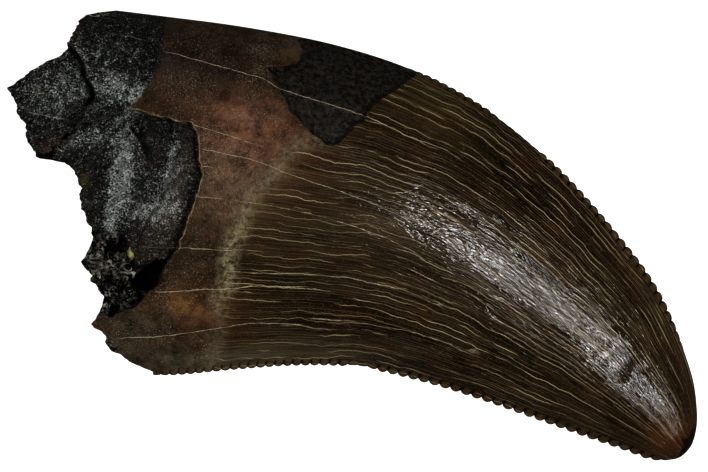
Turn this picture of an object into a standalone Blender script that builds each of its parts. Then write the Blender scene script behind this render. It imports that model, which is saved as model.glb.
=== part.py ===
"""A fossil nanotyrannus tooth, broken off at the root, lying on its side.

The tooth is one piece of stone. Its blade is a loft whose ribs each run from the front cutting edge to the
back one. It starts as a ball: the ball's top pole becomes the tip, its rings become the ribs, and its lowest
rings become the broken root. Flaked layers, pits and a chip are sunk into that form, and a row of denticles
is raised along each cutting edge.

Lengths are in millimetres unless a name says otherwise. +X runs from the broken root to the tip, +Y to the
front cutting edge and +Z up from the table. The origin is on the table, under the middle of the tooth.
"""

import bmesh
import bpy
import numpy as np
from mathutils import Matrix

MM = 0.001

# Each rib: front edge x and y, back edge x and y, height of the two edges above the table, bulge of the
# upper side, bulge of the under side, and how steeply each side leaves the front edge (low is rounder).
RIBS = [
    (-14.16, 9.54, -14.16, -6.10, 3.60, 3.75, 3.93, 0.50),
    (-10.96, 9.24, -11.36, -5.86, 3.70, 4.00, 4.07, 0.50),
    (-7.76, 8.86, -8.96, -5.68, 3.70, 4.15, 4.03, 0.52),
    (-4.16, 8.38, -6.76, -5.56, 3.60, 4.10, 3.77, 0.56),
    (-0.56, 7.66, -4.56, -5.34, 3.45, 3.90, 3.55, 0.62),
    (2.52, 6.64, -2.16, -5.18, 3.25, 3.60, 3.43, 0.70),
    (5.44, 5.04, 0.32, -5.26, 3.00, 3.20, 3.03, 0.76),
    (8.06, 2.88, 2.84, -5.82, 2.65, 2.80, 2.52, 0.80),
    (10.42, 0.30, 5.04, -6.50, 2.25, 2.40, 2.10, 0.82),
    (12.28, -2.24, 7.64, -7.42, 1.82, 2.00, 1.72, 0.82),
    (13.34, -4.58, 9.60, -8.12, 1.42, 1.65, 1.44, 0.80),
    (13.76, -5.98, 10.88, -8.56, 1.20, 1.45, 1.27, 0.76),
    (13.88, -7.10, 11.88, -8.94, 1.08, 1.25, 1.13, 0.70),
    (13.92, -8.30, 12.98, -9.30, 0.98, 1.05, 0.90, 0.66),
]
UPPER_BACK_POWER = 0.80
UNDER_BACK_POWER = (0.39, 0.92)
UNDER_FRONT_POWER = (0.41, 0.58)
CARINA_INSET = 0.08
TIP_ROUNDING = 1.0
TIP_SQUARENESS = 2.9
TIP_PLACE = 30.92
UNDER_HOLLOW_CENTRE = 0.46
UNDER_HOLLOW_DEPTH = 0.45
UNDER_HOLLOW_WIDTH = 0.12
UNDER_HOLLOW_END = 15.0
UNDER_ARCH = 0.10
STANDING_FLAT = 0.05
CUTTER_SIZE = (40.0, 30.0, 2.0)

# Denticles: where each row starts, in x, then their pitch and their height along the edge from there.
FRONT_ROW_START = 2.5
FRONT_PITCH = [(0.0, 0.36), (3.5, 0.41), (9.0, 0.43), (18.0, 0.45)]
FRONT_HEIGHT = [(-0.5, 0.0), (0.6, 0.07), (3.4, 0.08), (3.9, 0.02), (5.7, 0.02), (6.3, 0.1), (13.8, 0.1), (16.2, 0.0)]
BACK_ROW_START = -8.0
BACK_PITCH = [(0.0, 0.34), (6.0, 0.36), (11.0, 0.44), (22.0, 0.46)]
BACK_HEIGHT = [(-0.3, 0.0), (0.8, 0.07), (7.6, 0.1), (8.0, 0.03), (8.6, 0.03), (9.1, 0.12), (20.4, 0.12), (21.4, 0.0)]
FULL_DENTICLE = 0.1
WORN_DENTICLE = 0.05
DENTICLE_REACH = 0.24
DENTICLE_BLUNTNESS = 0.5
NOTCH_DEPTH = 0.035
NOTCH_REACH = 0.4
CARINA_ROLL = 0.08
CARINA_ROLL_WIDTH = 0.16

# The line along which the root is snapped off, front to back, on the upper side and on the under side.
UPPER_BREAK = [
    (-9.64, 9.00), (-10.28, 8.88), (-10.96, 8.32), (-11.28, 7.52), (-11.64, 7.16), (-12.48, 6.64),
    (-13.60, 5.84), (-13.20, 4.88), (-12.84, 3.84), (-12.44, 3.06), (-11.36, 3.00), (-11.04, 2.72),
    (-10.76, 1.64), (-10.72, 1.00), (-10.44, 0.72), (-10.32, -0.80), (-10.76, -1.00), (-10.76, -1.24),
    (-10.32, -1.92), (-9.88, -2.52), (-9.52, -3.04), (-10.20, -3.36), (-10.24, -3.56), (-9.84, -4.24),
    (-9.56, -4.60), (-8.96, -5.04), (-7.96, -5.44),
]
UNDER_BREAK = [
    (-9.64, 9.00), (-9.95, 8.40), (-9.70, 7.00), (-10.05, 5.60), (-9.60, 4.40), (-9.95, 3.20),
    (-9.45, 2.00), (-9.75, 0.60), (-9.30, -0.80), (-9.60, -1.90), (-8.90, -3.00), (-9.30, -3.90),
    (-8.80, -4.80), (-7.96, -5.44),
]
WALL = 0.9
RECESS = 0.5
INFILL_FACE_X = -9.9
INFILL_BULGE = 0.3
INFILL_ROUGHNESS = 0.45
FACE_GRAINS = [(0.45, 0.9, 7), (0.225, 0.4, 8)]
FACE_EASE = 5.0
ROOT_CENTRE = (2.2, 3.6)
WALL_STEP = 0.15
SEAT_STEP = 0.4
BREAK_REACH = 9.0

# Flaked layers and pits of the upper side: outline, depth and the width of the slope at its rim.
INNER_WALL = [
    (-8.84, 4.96), (-6.40, 4.44), (-6.12, 3.68), (-6.08, 2.96), (-6.12, 2.08), (-6.32, 1.32), (-6.64, 0.44),
    (-7.00, -0.44), (-7.52, -1.56), (-8.04, -2.20), (-8.68, -2.88), (-9.52, -3.08), (-11.50, -3.20),
    (-14.50, 0.00), (-14.50, 3.40), (-12.00, 3.20), (-11.64, 3.52), (-11.48, 3.80), (-10.96, 4.24),
    (-10.68, 4.56), (-9.88, 4.60),
]
SECOND_WALL = [
    (-8.60, 4.60), (-7.12, 4.56), (-7.20, 3.76), (-6.92, 3.32), (-7.04, 2.72), (-7.24, 2.08), (-7.44, 1.72),
    (-8.00, 0.60), (-8.56, -0.44), (-11.50, -1.00), (-11.50, 1.00), (-9.60, 3.00),
]
SLAB = [
    (-11.36, 7.60), (-10.92, 7.16), (-10.72, 6.76), (-10.60, 6.24), (-10.32, 5.84), (-10.28, 5.44),
    (-10.48, 5.20), (-10.68, 4.56), (-10.96, 4.24), (-11.48, 3.80), (-11.64, 3.52), (-12.00, 3.20),
    (-14.50, 3.00), (-14.50, 8.20),
]
INFILL = [
    (-9.90, 0.30), (-8.60, 0.10), (-8.10, -0.40), (-7.20, -0.80), (-7.55, -1.50), (-8.05, -2.15),
    (-8.70, -2.85), (-9.55, -3.05), (-11.50, -3.00), (-11.50, 0.30),
]
DEEP_PIT = [
    (-7.16, -0.80), (-7.88, -1.12), (-8.56, -1.40), (-9.08, -1.64), (-8.84, -2.08), (-8.04, -2.08), (-7.64, -1.76),
]
SMALL_PIT = [(-9.80, -0.20), (-9.20, -0.10), (-8.95, -0.60), (-9.20, -1.00), (-9.75, -0.85)]
CHIP = [
    (-3.40, 6.68), (-2.96, 5.88), (-2.60, 5.24), (-2.20, 4.60), (-1.96, 4.32), (-1.44, 4.04), (-1.04, 3.64),
    (-0.60, 3.68), (-0.16, 4.16), (0.52, 4.72), (1.04, 5.36), (1.80, 5.96), (2.44, 6.38), (2.30, 8.60),
    (-1.90, 8.80), (-2.20, 7.60), (-2.08, 7.28), (-2.32, 6.88), (-2.96, 6.68),
]
SUNKEN = [
    (INNER_WALL, 0.35, 0.14),
    (SECOND_WALL, 0.18, 0.14),
    (SLAB, 0.50, 0.16),
    (INFILL, 0.45, 0.22),
    (DEEP_PIT, 1.20, 0.35),
    (SMALL_PIT, 0.60, 0.25),
    (CHIP, 0.30, 0.14),
]
SHALLOW_RIM = 0.8
WANDER = [(0.10, 0.5, 3), (0.05, 0.2, 4)]
LUMPS = [(0.6, 0.55, 5), (0.4, 0.28, 6)]
LUMP_RIM = 0.3

# The same on the under side, where a shell of the root wall and a scale of enamel have come away.
UNDER_SHELL = [
    (-8.60, 2.90), (-7.90, 2.60), (-7.20, 1.90), (-7.40, 1.00), (-6.90, 0.20), (-7.60, -0.50), (-8.60, -0.80),
    (-11.50, -0.90), (-11.50, 2.90),
]
UNDER_SCALE = [(3.40, -3.60), (4.60, -2.90), (5.60, -3.40), (6.30, -4.40), (5.60, -5.20), (4.10, -4.70)]
UNDER_SUNKEN = [
    (UNDER_SHELL, 0.30, 0.20),
    (UNDER_SCALE, 0.12, 0.16),
]

# The ball that becomes the tooth, and how many triangles the finished surface keeps.
UPPER_STEPS = 118
UNDER_STEPS = 56
TIP_RINGS = 14
BLADE_RINGS = 300
TREND_RINGS = 110
DETAIL_RINGS = 30
EVEN_WINDOW = 25
ROOT_RINGS = 26
EDGE_CROWDING = 0.75
EDGE_SAMPLES = 1600
BREAK_SAMPLES = 500
TRIANGLES = 11600

COLOUR = (0.045, 0.028, 0.016, 1.0)
ROUGHNESS = 0.42


def smooth(places, rows, where):
    """Each column of rows as a smooth curve through its values, read at each place asked for."""
    places = np.asarray(places, float)
    rows = np.asarray(rows, float)
    slopes = np.gradient(rows, places, axis=0)
    k = np.clip(np.searchsorted(places, where, side="right") - 1, 0, len(places) - 2)
    span = (places[k + 1] - places[k])[..., None]
    f = (where - places[k])[..., None] / span
    start = (2 * f**3 - 3 * f**2 + 1) * rows[k] + (f**3 - 2 * f**2 + f) * slopes[k] * span
    end = (3 * f**2 - 2 * f**3) * rows[k + 1] + (f**3 - f**2) * slopes[k + 1] * span
    return start + end


def table(pairs, where):
    """Straight runs through (place, value) pairs."""
    places, values = np.array(pairs).T
    return np.interp(where, places, values)


def ramp(x):
    """0 below 0, 1 above 1, and an easy curve between."""
    x = np.clip(x, 0.0, 1.0)
    return x * x * (3 - 2 * x)


def noise(x, y, size, seed):
    """Smooth numbers between -1 and 1 that change over about this size."""
    lattice = np.random.default_rng(seed).uniform(-1, 1, (64, 64))
    column = np.floor(x / size).astype(int)
    row = np.floor(y / size).astype(int)
    right = ramp(x / size - column)
    up = ramp(y / size - row)
    low = lattice[column % 64, row % 64] * (1 - right) + lattice[(column + 1) % 64, row % 64] * right
    high = lattice[column % 64, (row + 1) % 64] * (1 - right) + lattice[(column + 1) % 64, (row + 1) % 64] * right
    return low * (1 - up) + high * up


def depth_inside(x, y, outline):
    """How far each point lies inside a closed outline, below zero outside it."""
    nearest = np.full(x.shape, np.inf)
    inside = np.zeros(x.shape, bool)
    for (ax, ay), (bx, by) in zip(outline, outline[1:] + outline[:1]):
        run = bx - ax
        rise = by - ay
        share = np.clip(((x - ax) * run + (y - ay) * rise) / (run**2 + rise**2), 0, 1)
        nearest = np.minimum(nearest, np.hypot(x - ax - share * run, y - ay - share * rise))
        if rise:
            inside ^= ((ay > y) != (by > y)) & (x < ax + (y - ay) * run / rise)
    return np.where(inside, nearest, -nearest)


def rib_places():
    """How far along the middle of the tooth each rib stands."""
    ribs = np.array(RIBS)
    middle = (ribs[:, 0:2] + ribs[:, 2:4]) / 2
    steps = np.hypot(*np.diff(middle, axis=0).T)
    return np.concatenate([[0.0], np.cumsum(steps)])


PLACES = rib_places()


def section(along):
    """The rib at each place: front edge, back edge, edge height, both bulges and the front steepness."""
    rib = smooth(PLACES, RIBS, along)
    front = rib[..., 0:2]
    back = rib[..., 2:4]
    across = back - front
    inward = across / np.linalg.norm(across, axis=-1, keepdims=True) * CARINA_INSET
    front = front + inward
    back = back - inward
    round_off = np.clip((along - TIP_PLACE + TIP_ROUNDING) / TIP_ROUNDING, 0, 1)
    shrink = (1 - round_off**TIP_SQUARENESS) ** (1 / TIP_SQUARENESS)
    middle = (front + back) / 2
    front = middle + (front - middle) * shrink[..., None]
    back = middle + (back - middle) * shrink[..., None]
    return front, back, rib[..., 4], rib[..., 5] * shrink, rib[..., 6] * shrink, rib[..., 7]


def edge_course(side, start_x):
    """One cutting edge: places along the tooth, the arc length from its first denticle, its outward normal."""
    along = np.linspace(0, TIP_PLACE, EDGE_SAMPLES)
    edge = section(along)[side]
    other = section(along)[1 - side]
    steps = np.hypot(*np.diff(edge, axis=0).T)
    arc = np.concatenate([[0.0], np.cumsum(steps)])
    arc -= np.interp(start_x, edge[:, 0], arc)
    tangent = np.gradient(edge, axis=0)
    tangent /= np.maximum(np.linalg.norm(tangent, axis=1, keepdims=True), 1e-9)
    normal = np.stack([-tangent[:, 1], tangent[:, 0]], axis=1)
    normal *= np.sign(((edge - other) * normal).sum(axis=1, keepdims=True))
    return along, arc, normal


def denticles(along, side):
    """Along one edge: how far the teeth stand out here, how much of a notch is here, and which way is out."""
    start_x, pitch, height = (
        (FRONT_ROW_START, FRONT_PITCH, FRONT_HEIGHT),
        (BACK_ROW_START, BACK_PITCH, BACK_HEIGHT),
    )[side]
    places, arc, normal = edge_course(side, start_x)
    count = np.concatenate([[0.0], np.cumsum(np.diff(arc) / table(pitch, (arc[1:] + arc[:-1]) / 2))])
    count -= np.interp(0.0, arc, count)
    here = np.interp(along, places, arc)
    bead = np.abs(np.sin(np.pi * np.interp(along, places, count))) ** DENTICLE_BLUNTNESS
    tall = table(height, here)
    out = np.stack([np.interp(along, places, normal[:, 0]), np.interp(along, places, normal[:, 1])], axis=-1)
    return tall * bead, tall / FULL_DENTICLE * (1 - bead), out


def break_place(share, line):
    """Where along the tooth each share of the way across meets the line of the break."""
    along = np.linspace(0, BREAK_REACH, BREAK_SAMPLES)
    front, back = section(along)[:2]
    x_line, y_line = np.array(line[::-1]).T
    found = []
    for part in share:
        path = front + (back - front) * part
        past = path[:, 0] - np.interp(path[:, 1], y_line, x_line)
        found.append(along[np.argmax(past >= 0)])
    return np.array(found)


def profile(share, front_power, back_power):
    """The bulge of a rib at each share of the way across, 1 at its crest."""
    crest = front_power / (front_power + back_power)
    rise = (share / crest) ** front_power
    fall = ((1 - share) / (1 - crest)) ** back_power
    return rise * fall


def between(ends, share):
    """A value that runs from the first of two ends to the second."""
    return ends[0] + (ends[1] - ends[0]) * share


def blade(share, along, upper):
    """Points of the outer form, as x, y, z, for a share of the way across and a place along the tooth."""
    front, back, edge_height, top, under, front_power = section(along)
    plan = front + (back - front) * share[..., None]
    span = np.linalg.norm(back - front, axis=-1)
    crown_share = ramp(along / UNDER_HOLLOW_END)
    upper_bulge = profile(share, front_power, UPPER_BACK_POWER)
    under_bulge = profile(share, between(UNDER_FRONT_POWER, crown_share), between(UNDER_BACK_POWER, crown_share))
    roll = np.zeros(share.shape)
    for side, gap in ((0, share * span), (1, (1 - share) * span)):
        stand, notch, out = denticles(along, side)
        near = np.exp(-((gap / DENTICLE_REACH) ** 2))
        plan = plan + out * (stand * near)[..., None]
        rounded = np.sqrt(np.clip(1 - (1 - np.clip(gap / CARINA_ROLL_WIDTH, 0, 1)) ** 2, 0, 1))
        fade = np.exp(-np.maximum(gap - CARINA_ROLL_WIDTH, 0) / CARINA_ROLL_WIDTH)
        present = np.clip((stand + notch * FULL_DENTICLE) / WORN_DENTICLE, 0, 1)
        roll += present * CARINA_ROLL * rounded * fade
        roll -= NOTCH_DEPTH * notch * rounded * np.exp(-((gap / NOTCH_REACH) ** 2))
    hollow = UNDER_HOLLOW_DEPTH * np.exp(-(((share - UNDER_HOLLOW_CENTRE) / UNDER_HOLLOW_WIDTH) ** 2)) * (1 - crown_share)
    arch = UNDER_ARCH * np.sin(np.pi * np.clip(along / TIP_PLACE, 0, 1)) ** 2
    upper_z = edge_height + top * upper_bulge + roll
    under_z = edge_height - (under - arch) * under_bulge - roll + hollow
    z = np.where(upper, upper_z, under_z)
    return np.concatenate([plan, z[..., None]], axis=-1)


def rough(x, y, grains):
    """Noise of several grains added up, each with its height, its size and its seed."""
    return sum(height * noise(x, y, size, seed) for height, size, seed in grains)


def sunk(x, y, layers):
    """How deep the flaked layers reach at each point, their rims wandering a little."""
    wander = rough(x, y, WANDER)
    lowered = np.zeros(x.shape)
    for outline, depth, slope in layers:
        lowered += depth * ramp((depth_inside(x, y, outline) + wander) / slope + 0.5)
    return lowered


def sink_layers(points, upper, edge_height):
    """Sink both sides where layers have flaked off, easing to nothing at the silhouette."""
    x, y, z = np.moveaxis(points, -1, 0)
    lumps = INFILL_ROUGHNESS * ramp(depth_inside(x, y, INFILL) / LUMP_RIM) * rough(x, y, LUMPS)
    room = ramp(np.abs(z - edge_height) / SHALLOW_RIM)
    down = (sunk(x, y, SUNKEN) + lumps) * room
    up = sunk(x, y, UNDER_SUNKEN) * room
    points[..., 2] += np.where(upper, -down, up)


def root_face(rim, step):
    """One ring of the broken root, from its rim (step 0) to the middle of its infill (step 1)."""
    toward = np.array(ROOT_CENTRE) - rim[:, 1:3]
    toward /= np.linalg.norm(toward, axis=1, keepdims=True)
    inner = rim.copy()
    inner[:, 1:3] += toward * WALL
    y_line, x_line = np.array(UPPER_BREAK[::-1])[:, ::-1].T
    inner[:, 0] = np.maximum(inner[:, 0], np.interp(inner[:, 1], y_line, x_line))
    seat = inner.copy()
    seat[:, 0] = np.maximum(inner[:, 0] + RECESS, INFILL_FACE_X)
    if step < WALL_STEP:
        return rim + (inner - rim) * (step / WALL_STEP)
    if step < SEAT_STEP:
        return inner + (seat - inner) * ((step - WALL_STEP) / (SEAT_STEP - WALL_STEP))
    share = (step - SEAT_STEP) / (1 - SEAT_STEP)
    middle = np.array([INFILL_FACE_X + INFILL_BULGE, *ROOT_CENTRE])
    ring = seat + (middle - seat) * share
    ring[:, 0] += rough(ring[:, 1], ring[:, 2], FACE_GRAINS) * ramp(share * FACE_EASE)
    return ring


def evened(values):
    """The same run of values, going round the tooth, with its jags averaged away."""
    window = np.hanning(EVEN_WINDOW + 2)[1:-1]
    wrapped = np.concatenate([values[-EVEN_WINDOW:], values, values[:EVEN_WINDOW]])
    return np.convolve(wrapped, window / window.sum(), mode="same")[EVEN_WINDOW:-EVEN_WINDOW]


def tooth_points():
    """The tooth's points: its tip, then ring after ring to the root, then the middle of the root's face."""
    across = np.linspace(0, 1, UPPER_STEPS + 1)
    down = np.linspace(1, 0, UNDER_STEPS + 1)[1:-1]
    share = np.concatenate([across, down])
    share = EDGE_CROWDING * (1 - np.cos(np.pi * share)) / 2 + (1 - EDGE_CROWDING) * share
    upper = np.arange(len(share)) <= UPPER_STEPS

    turn = np.linspace(np.pi / 2, 0, TIP_RINGS + 1)[1:]
    tip_places = TIP_PLACE - TIP_ROUNDING + TIP_ROUNDING * np.sin(turn)
    broken = np.where(upper, break_place(share, UPPER_BREAK), break_place(share, UNDER_BREAK))
    start = broken.mean()
    trend = start + evened(broken - start)
    blade_places = np.linspace(TIP_PLACE - TIP_ROUNDING, start, BLADE_RINGS + 1)[1:]
    places = np.concatenate([tip_places, blade_places])
    rings_left = np.arange(len(places))[::-1, None]
    trend_pull = np.clip(1 - rings_left / TREND_RINGS, 0, 1)
    detail_pull = np.clip(1 - rings_left / DETAIL_RINGS, 0, 1)
    along = places[:, None] + (trend - start) * trend_pull + (broken - trend) * detail_pull

    shares = np.broadcast_to(share, along.shape)
    uppers = np.broadcast_to(upper, along.shape)
    points = blade(shares, along, uppers)
    sink_layers(points, uppers, section(along)[2])
    rings = [points]
    for step in np.linspace(0, 1, ROOT_RINGS + 1)[1:-1]:
        rings.append(root_face(points[-1], step)[None])
    front, back, height = section(np.array(TIP_PLACE))[:3]
    tip = np.array([*((front + back) / 2), height])
    middle = np.array([INFILL_FACE_X + INFILL_BULGE, *ROOT_CENTRE])
    return np.concatenate([tip[None], np.concatenate(rings).reshape(-1, 3), middle[None]])


def new_collection(name):
    collection = bpy.data.collections.new(name)
    bpy.context.scene.collection.children.link(collection)
    return collection


def fossil_material():
    """Dark brown fossil enamel with a dull shine."""
    material = bpy.data.materials.new("fossil_enamel")
    material.use_nodes = True
    shader = material.node_tree.nodes["Principled BSDF"]
    shader.inputs["Base Color"].default_value = COLOUR
    shader.inputs["Roughness"].default_value = ROUGHNESS
    shader.inputs["Metallic"].default_value = 0.0
    return material


def ball_mesh():
    """The ball, with each of its points moved to its place on the tooth, in millimetres."""
    points = tooth_points()
    points[:, 0] -= (points[:, 0].max() + points[:, 0].min()) / 2
    points[:, 1] -= (points[:, 1].max() + points[:, 1].min()) / 2
    points[:, 2] -= points[:, 2].min() + STANDING_FLAT
    segments = UPPER_STEPS + UNDER_STEPS
    rings = (len(points) - 2) // segments + 1

    form = bmesh.new()
    bmesh.ops.create_uvsphere(form, u_segments=segments, v_segments=rings, radius=1.0)
    ball = np.array([vert.co for vert in form.verts])
    ring = np.rint(np.arccos(np.clip(ball[:, 2], -1, 1)) / np.pi * rings).astype(int)
    turn = np.rint(np.arctan2(ball[:, 1], ball[:, 0]) / (2 * np.pi) * segments).astype(int) % segments
    order = np.where(ring == 0, 0, np.where(ring == rings, len(points) - 1, 1 + (ring - 1) * segments + turn))
    for vert, place in zip(form.verts, points[order]):
        vert.co = place
    bmesh.ops.recalc_face_normals(form, faces=form.faces)
    mesh = bpy.data.meshes.new("ball")
    form.to_mesh(mesh)
    form.free()
    return mesh


def make_tooth(collection):
    """The tooth, with its triangles spent where the surface turns most: denticles, ledges and pits.

    They are thinned while the mesh is still in millimetres, because thinning is poor on a mesh this small in
    metres.
    """
    tooth = bpy.data.objects.new("tooth", ball_mesh())
    collection.objects.link(tooth)
    thin = tooth.modifiers.new("few triangles", "DECIMATE")
    thin.decimate_type = "COLLAPSE"
    thin.ratio = TRIANGLES / (2 * len(tooth.data.polygons))
    thin.use_collapse_triangulate = True
    bpy.context.view_layer.update()
    graph = bpy.context.evaluated_depsgraph_get()
    mesh = bpy.data.meshes.new_from_object(tooth.evaluated_get(graph))
    tooth.modifiers.clear()
    mesh.transform(Matrix.Scale(MM, 4))
    mesh.name = "tooth"
    mesh.materials.append(fossil_material())
    tooth.data = mesh
    return tooth


def flatten_under_side(tooth, collection):
    """Cut the places that touch the table flat, so that the tooth lies still."""
    bpy.ops.mesh.primitive_cube_add(size=1.0, location=(0.0, 0.0, -CUTTER_SIZE[2] / 2 * MM))
    table_top = bpy.context.active_object
    table_top.name = "table_cut"
    table_top.scale = [side * MM for side in CUTTER_SIZE]
    for home in list(table_top.users_collection):
        home.objects.unlink(table_top)
    collection.objects.link(table_top)
    table_top.hide_render = True
    table_top.display_type = "WIRE"
    cut = tooth.modifiers.new("standing flats", "BOOLEAN")
    cut.operation = "DIFFERENCE"
    cut.solver = "EXACT"
    cut.object = table_top


def main():
    for leftover in list(bpy.data.objects):
        bpy.data.objects.remove(leftover, do_unlink=True)
    parts = new_collection("fossil_nanotyrannus_tooth")
    cutters = new_collection("cutters")
    tooth = make_tooth(parts)
    flatten_under_side(tooth, cutters)


main()
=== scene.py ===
"""The looks of a fossil nanotyrannus tooth, snapped off at the root and lying on its side.

The tooth is lofted again, much finer than the solid it stands for: a sheet is wrapped round the ribs of the
blade, and its last rows close the broken root. Every point is then told where it lies on the tooth, so that
the finish can draw cracks that follow the blade, crisp flaked edges and teeth parted by slits painted dark.

Lengths are in millimetres until a mesh is finished, unless a name says otherwise. +X runs from the broken
root to the tip, +Y to the front cutting edge and +Z up from the table.
"""

import logging
import math
from collections.abc import Sequence
from dataclasses import dataclass, field, replace
from enum import Enum

import bpy
import numpy as np
from mathutils import Matrix, Quaternion, Vector


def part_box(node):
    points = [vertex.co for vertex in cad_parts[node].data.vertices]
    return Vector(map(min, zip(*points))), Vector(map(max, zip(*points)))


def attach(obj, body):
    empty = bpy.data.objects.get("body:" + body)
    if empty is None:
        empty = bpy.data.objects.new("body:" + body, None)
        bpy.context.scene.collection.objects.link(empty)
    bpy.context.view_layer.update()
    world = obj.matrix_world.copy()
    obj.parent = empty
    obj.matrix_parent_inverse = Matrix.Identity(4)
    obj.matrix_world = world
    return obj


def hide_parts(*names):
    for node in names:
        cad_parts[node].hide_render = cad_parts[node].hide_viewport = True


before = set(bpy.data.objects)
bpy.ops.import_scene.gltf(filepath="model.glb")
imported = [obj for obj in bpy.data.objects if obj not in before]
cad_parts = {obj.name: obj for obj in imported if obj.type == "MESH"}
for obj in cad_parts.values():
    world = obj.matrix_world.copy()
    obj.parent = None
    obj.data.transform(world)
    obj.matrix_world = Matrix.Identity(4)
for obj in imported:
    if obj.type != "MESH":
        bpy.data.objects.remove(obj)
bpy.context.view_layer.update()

MM = 0.001
# Noise repeats after this many of its own sizes.
LATTICE = 64
# Patterns that follow the blade are drawn as if it were this wide, which the tooth is near its middle.
BLADE_WIDTH = 12.0
# The tooth's minerals bend light much alike: apatite by 1.63, calcite by 1.49 to 1.66.
MINERAL_IOR = 1.6
# A direction is never divided by less than this.
TINY = 1e-9
# What lies on the tooth is dropped from this height, in metres.
DROP_FROM_M = 0.02
WHITE = (1.0, 1.0, 1.0, 1.0)
log = logging.getLogger("fossil_tooth")

Array = np.ndarray
Socket = bpy.types.NodeSocket
Thing = bpy.types.Object
Pair = tuple[float, float]
Triple = tuple[float, float, float]
Points = Sequence[Pair]
# Two values of a noise or a place and the two that they become, which are 0 and 1 where they aren't given.
Span = Sequence[float]

# Edges in the plan that more than one form follows.
INNER_EDGE: Points = (
    (-6.40, 4.44), (-6.12, 3.68), (-6.08, 2.96), (-6.12, 2.08), (-6.32, 1.32), (-6.64, 0.44), (-7.00, -0.44),
    (-7.52, -1.56), (-8.04, -2.20), (-8.68, -2.88), (-9.52, -3.08),
)
STEP_EDGE: Points = (
    (-7.12, 4.56), (-7.20, 3.76), (-6.92, 3.32), (-7.04, 2.72), (-7.24, 2.08), (-7.44, 1.72),
)
SLAB_EDGE: Points = (
    (-10.92, 7.16), (-10.72, 6.76), (-10.60, 6.24), (-10.32, 5.84), (-10.28, 5.44), (-10.48, 5.20),
)


def linear(code: str) -> tuple[float, float, float, float]:
    """The linear colour of an sRGB hex value.

    Args:
        code: Six hex digits, such as "3a2e20".

    Returns:
        Red, green, blue and alpha, as shaders take them.
    """
    parts = [int(code[i : i + 2], 16) / 255 for i in (0, 2, 4)]
    return (*[part / 12.92 if part <= 0.04045 else ((part + 0.055) / 1.055) ** 2.4 for part in parts], 1.0)


def ramp(x: Array) -> Array:
    """0 below 0, 1 above 1, and an easy curve between."""
    x = np.clip(x, 0.0, 1.0)
    return x * x * (3 - 2 * x)


def table(pairs: Points, where: Array) -> Array:
    """Straight runs through (place, value) pairs, read at each place asked for."""
    places, values = np.array(pairs).T
    return np.interp(where, places, values)


def smooth(places: Array, rows: Array, where: Array) -> Array:
    """Each column of rows as a smooth curve through its values.

    Args:
        places: Where the rows stand, rising.
        rows: One row of values for each place.
        where: The places asked for.

    Returns:
        A row of values for each place asked for.
    """
    slopes = np.gradient(rows, places, axis=0)
    k = np.clip(np.searchsorted(places, where, side="right") - 1, 0, len(places) - 2)
    span = (places[k + 1] - places[k])[..., None]
    f = (where - places[k])[..., None] / span
    start = (2 * f**3 - 3 * f**2 + 1) * rows[k] + (f**3 - 2 * f**2 + f) * slopes[k] * span
    end = (3 * f**2 - 2 * f**3) * rows[k + 1] + (f**3 - f**2) * slopes[k + 1] * span
    return start + end


def noise(x: Array, y: Array, size: float, seed: int) -> Array:
    """Smooth numbers between -1 and 1.

    Args:
        x: The points' x.
        y: Their y.
        size: The distance over which the numbers change.
        seed: Which random draw is taken.

    Returns:
        A number for each point.
    """
    lattice = np.random.default_rng(seed).uniform(-1, 1, (LATTICE, LATTICE))
    column = np.floor(x / size).astype(int)
    row = np.floor(y / size).astype(int)
    right = ramp(x / size - column)
    up = ramp(y / size - row)
    columns = column % LATTICE, (column + 1) % LATTICE
    rows = row % LATTICE, (row + 1) % LATTICE
    low = lattice[columns[0], rows[0]] * (1 - right) + lattice[columns[1], rows[0]] * right
    high = lattice[columns[0], rows[1]] * (1 - right) + lattice[columns[1], rows[1]] * right
    return low * (1 - up) + high * up


@dataclass(frozen=True)
class Grain:
    """One size of roughness: how high it stands, how wide it is and which random draw it takes."""

    height: float
    size: float
    seed: int


def rough(x: Array, y: Array, grains: Sequence[Grain]) -> Array:
    """Noise of several grains added up."""
    return sum(grain.height * noise(x, y, grain.size, grain.seed) for grain in grains)


def off_run(x: Array, y: Array, start: Pair, end: Pair) -> Array:
    """How far points lie from a straight run.

    Args:
        x: The points' x.
        y: Their y.
        start: Where the run starts.
        end: Where it ends.

    Returns:
        The distance of each point.
    """
    run = end[0] - start[0]
    rise = end[1] - start[1]
    share = np.clip(((x - start[0]) * run + (y - start[1]) * rise) / (run**2 + rise**2), 0, 1)
    return np.hypot(x - start[0] - share * run, y - start[1] - share * rise)


@dataclass(frozen=True)
class Outline:
    """A closed outline in the tooth's plan."""

    points: Points

    def depth(self, x: Array, y: Array) -> Array:
        """How far points lie inside the outline.

        Args:
            x: The points' x.
            y: Their y.

        Returns:
            The distance of each point from the outline, below zero outside it.
        """
        nearest = np.full(x.shape, np.inf)
        inside = np.zeros(x.shape, bool)
        points = list(self.points)
        for start, end in zip(points, points[1:] + points[:1]):
            nearest = np.minimum(nearest, off_run(x, y, start, end))
            run = end[0] - start[0]
            rise = end[1] - start[1]
            if rise:
                inside ^= ((start[1] > y) != (end[1] > y)) & (x < start[0] + (y - start[1]) * run / rise)
        return np.where(inside, nearest, -nearest)


@dataclass(frozen=True)
class Stroke:
    """A line drawn on the tooth's plan."""

    points: Points

    def distance(self, x: Array, y: Array) -> Array:
        """How far each point lies from the line."""
        return np.min([off_run(x, y, *ends) for ends in zip(self.points, self.points[1:])], axis=0)


@dataclass(frozen=True)
class Mark:
    """A low furrow or ridge: its line, its width and its depth or height."""

    line: Stroke
    width: float
    size: float

    def height(self, x: Array, y: Array) -> Array:
        """How far the mark stands out or in at each point."""
        return self.size * np.exp(-((self.line.distance(x, y) / self.width) ** 2))


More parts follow.
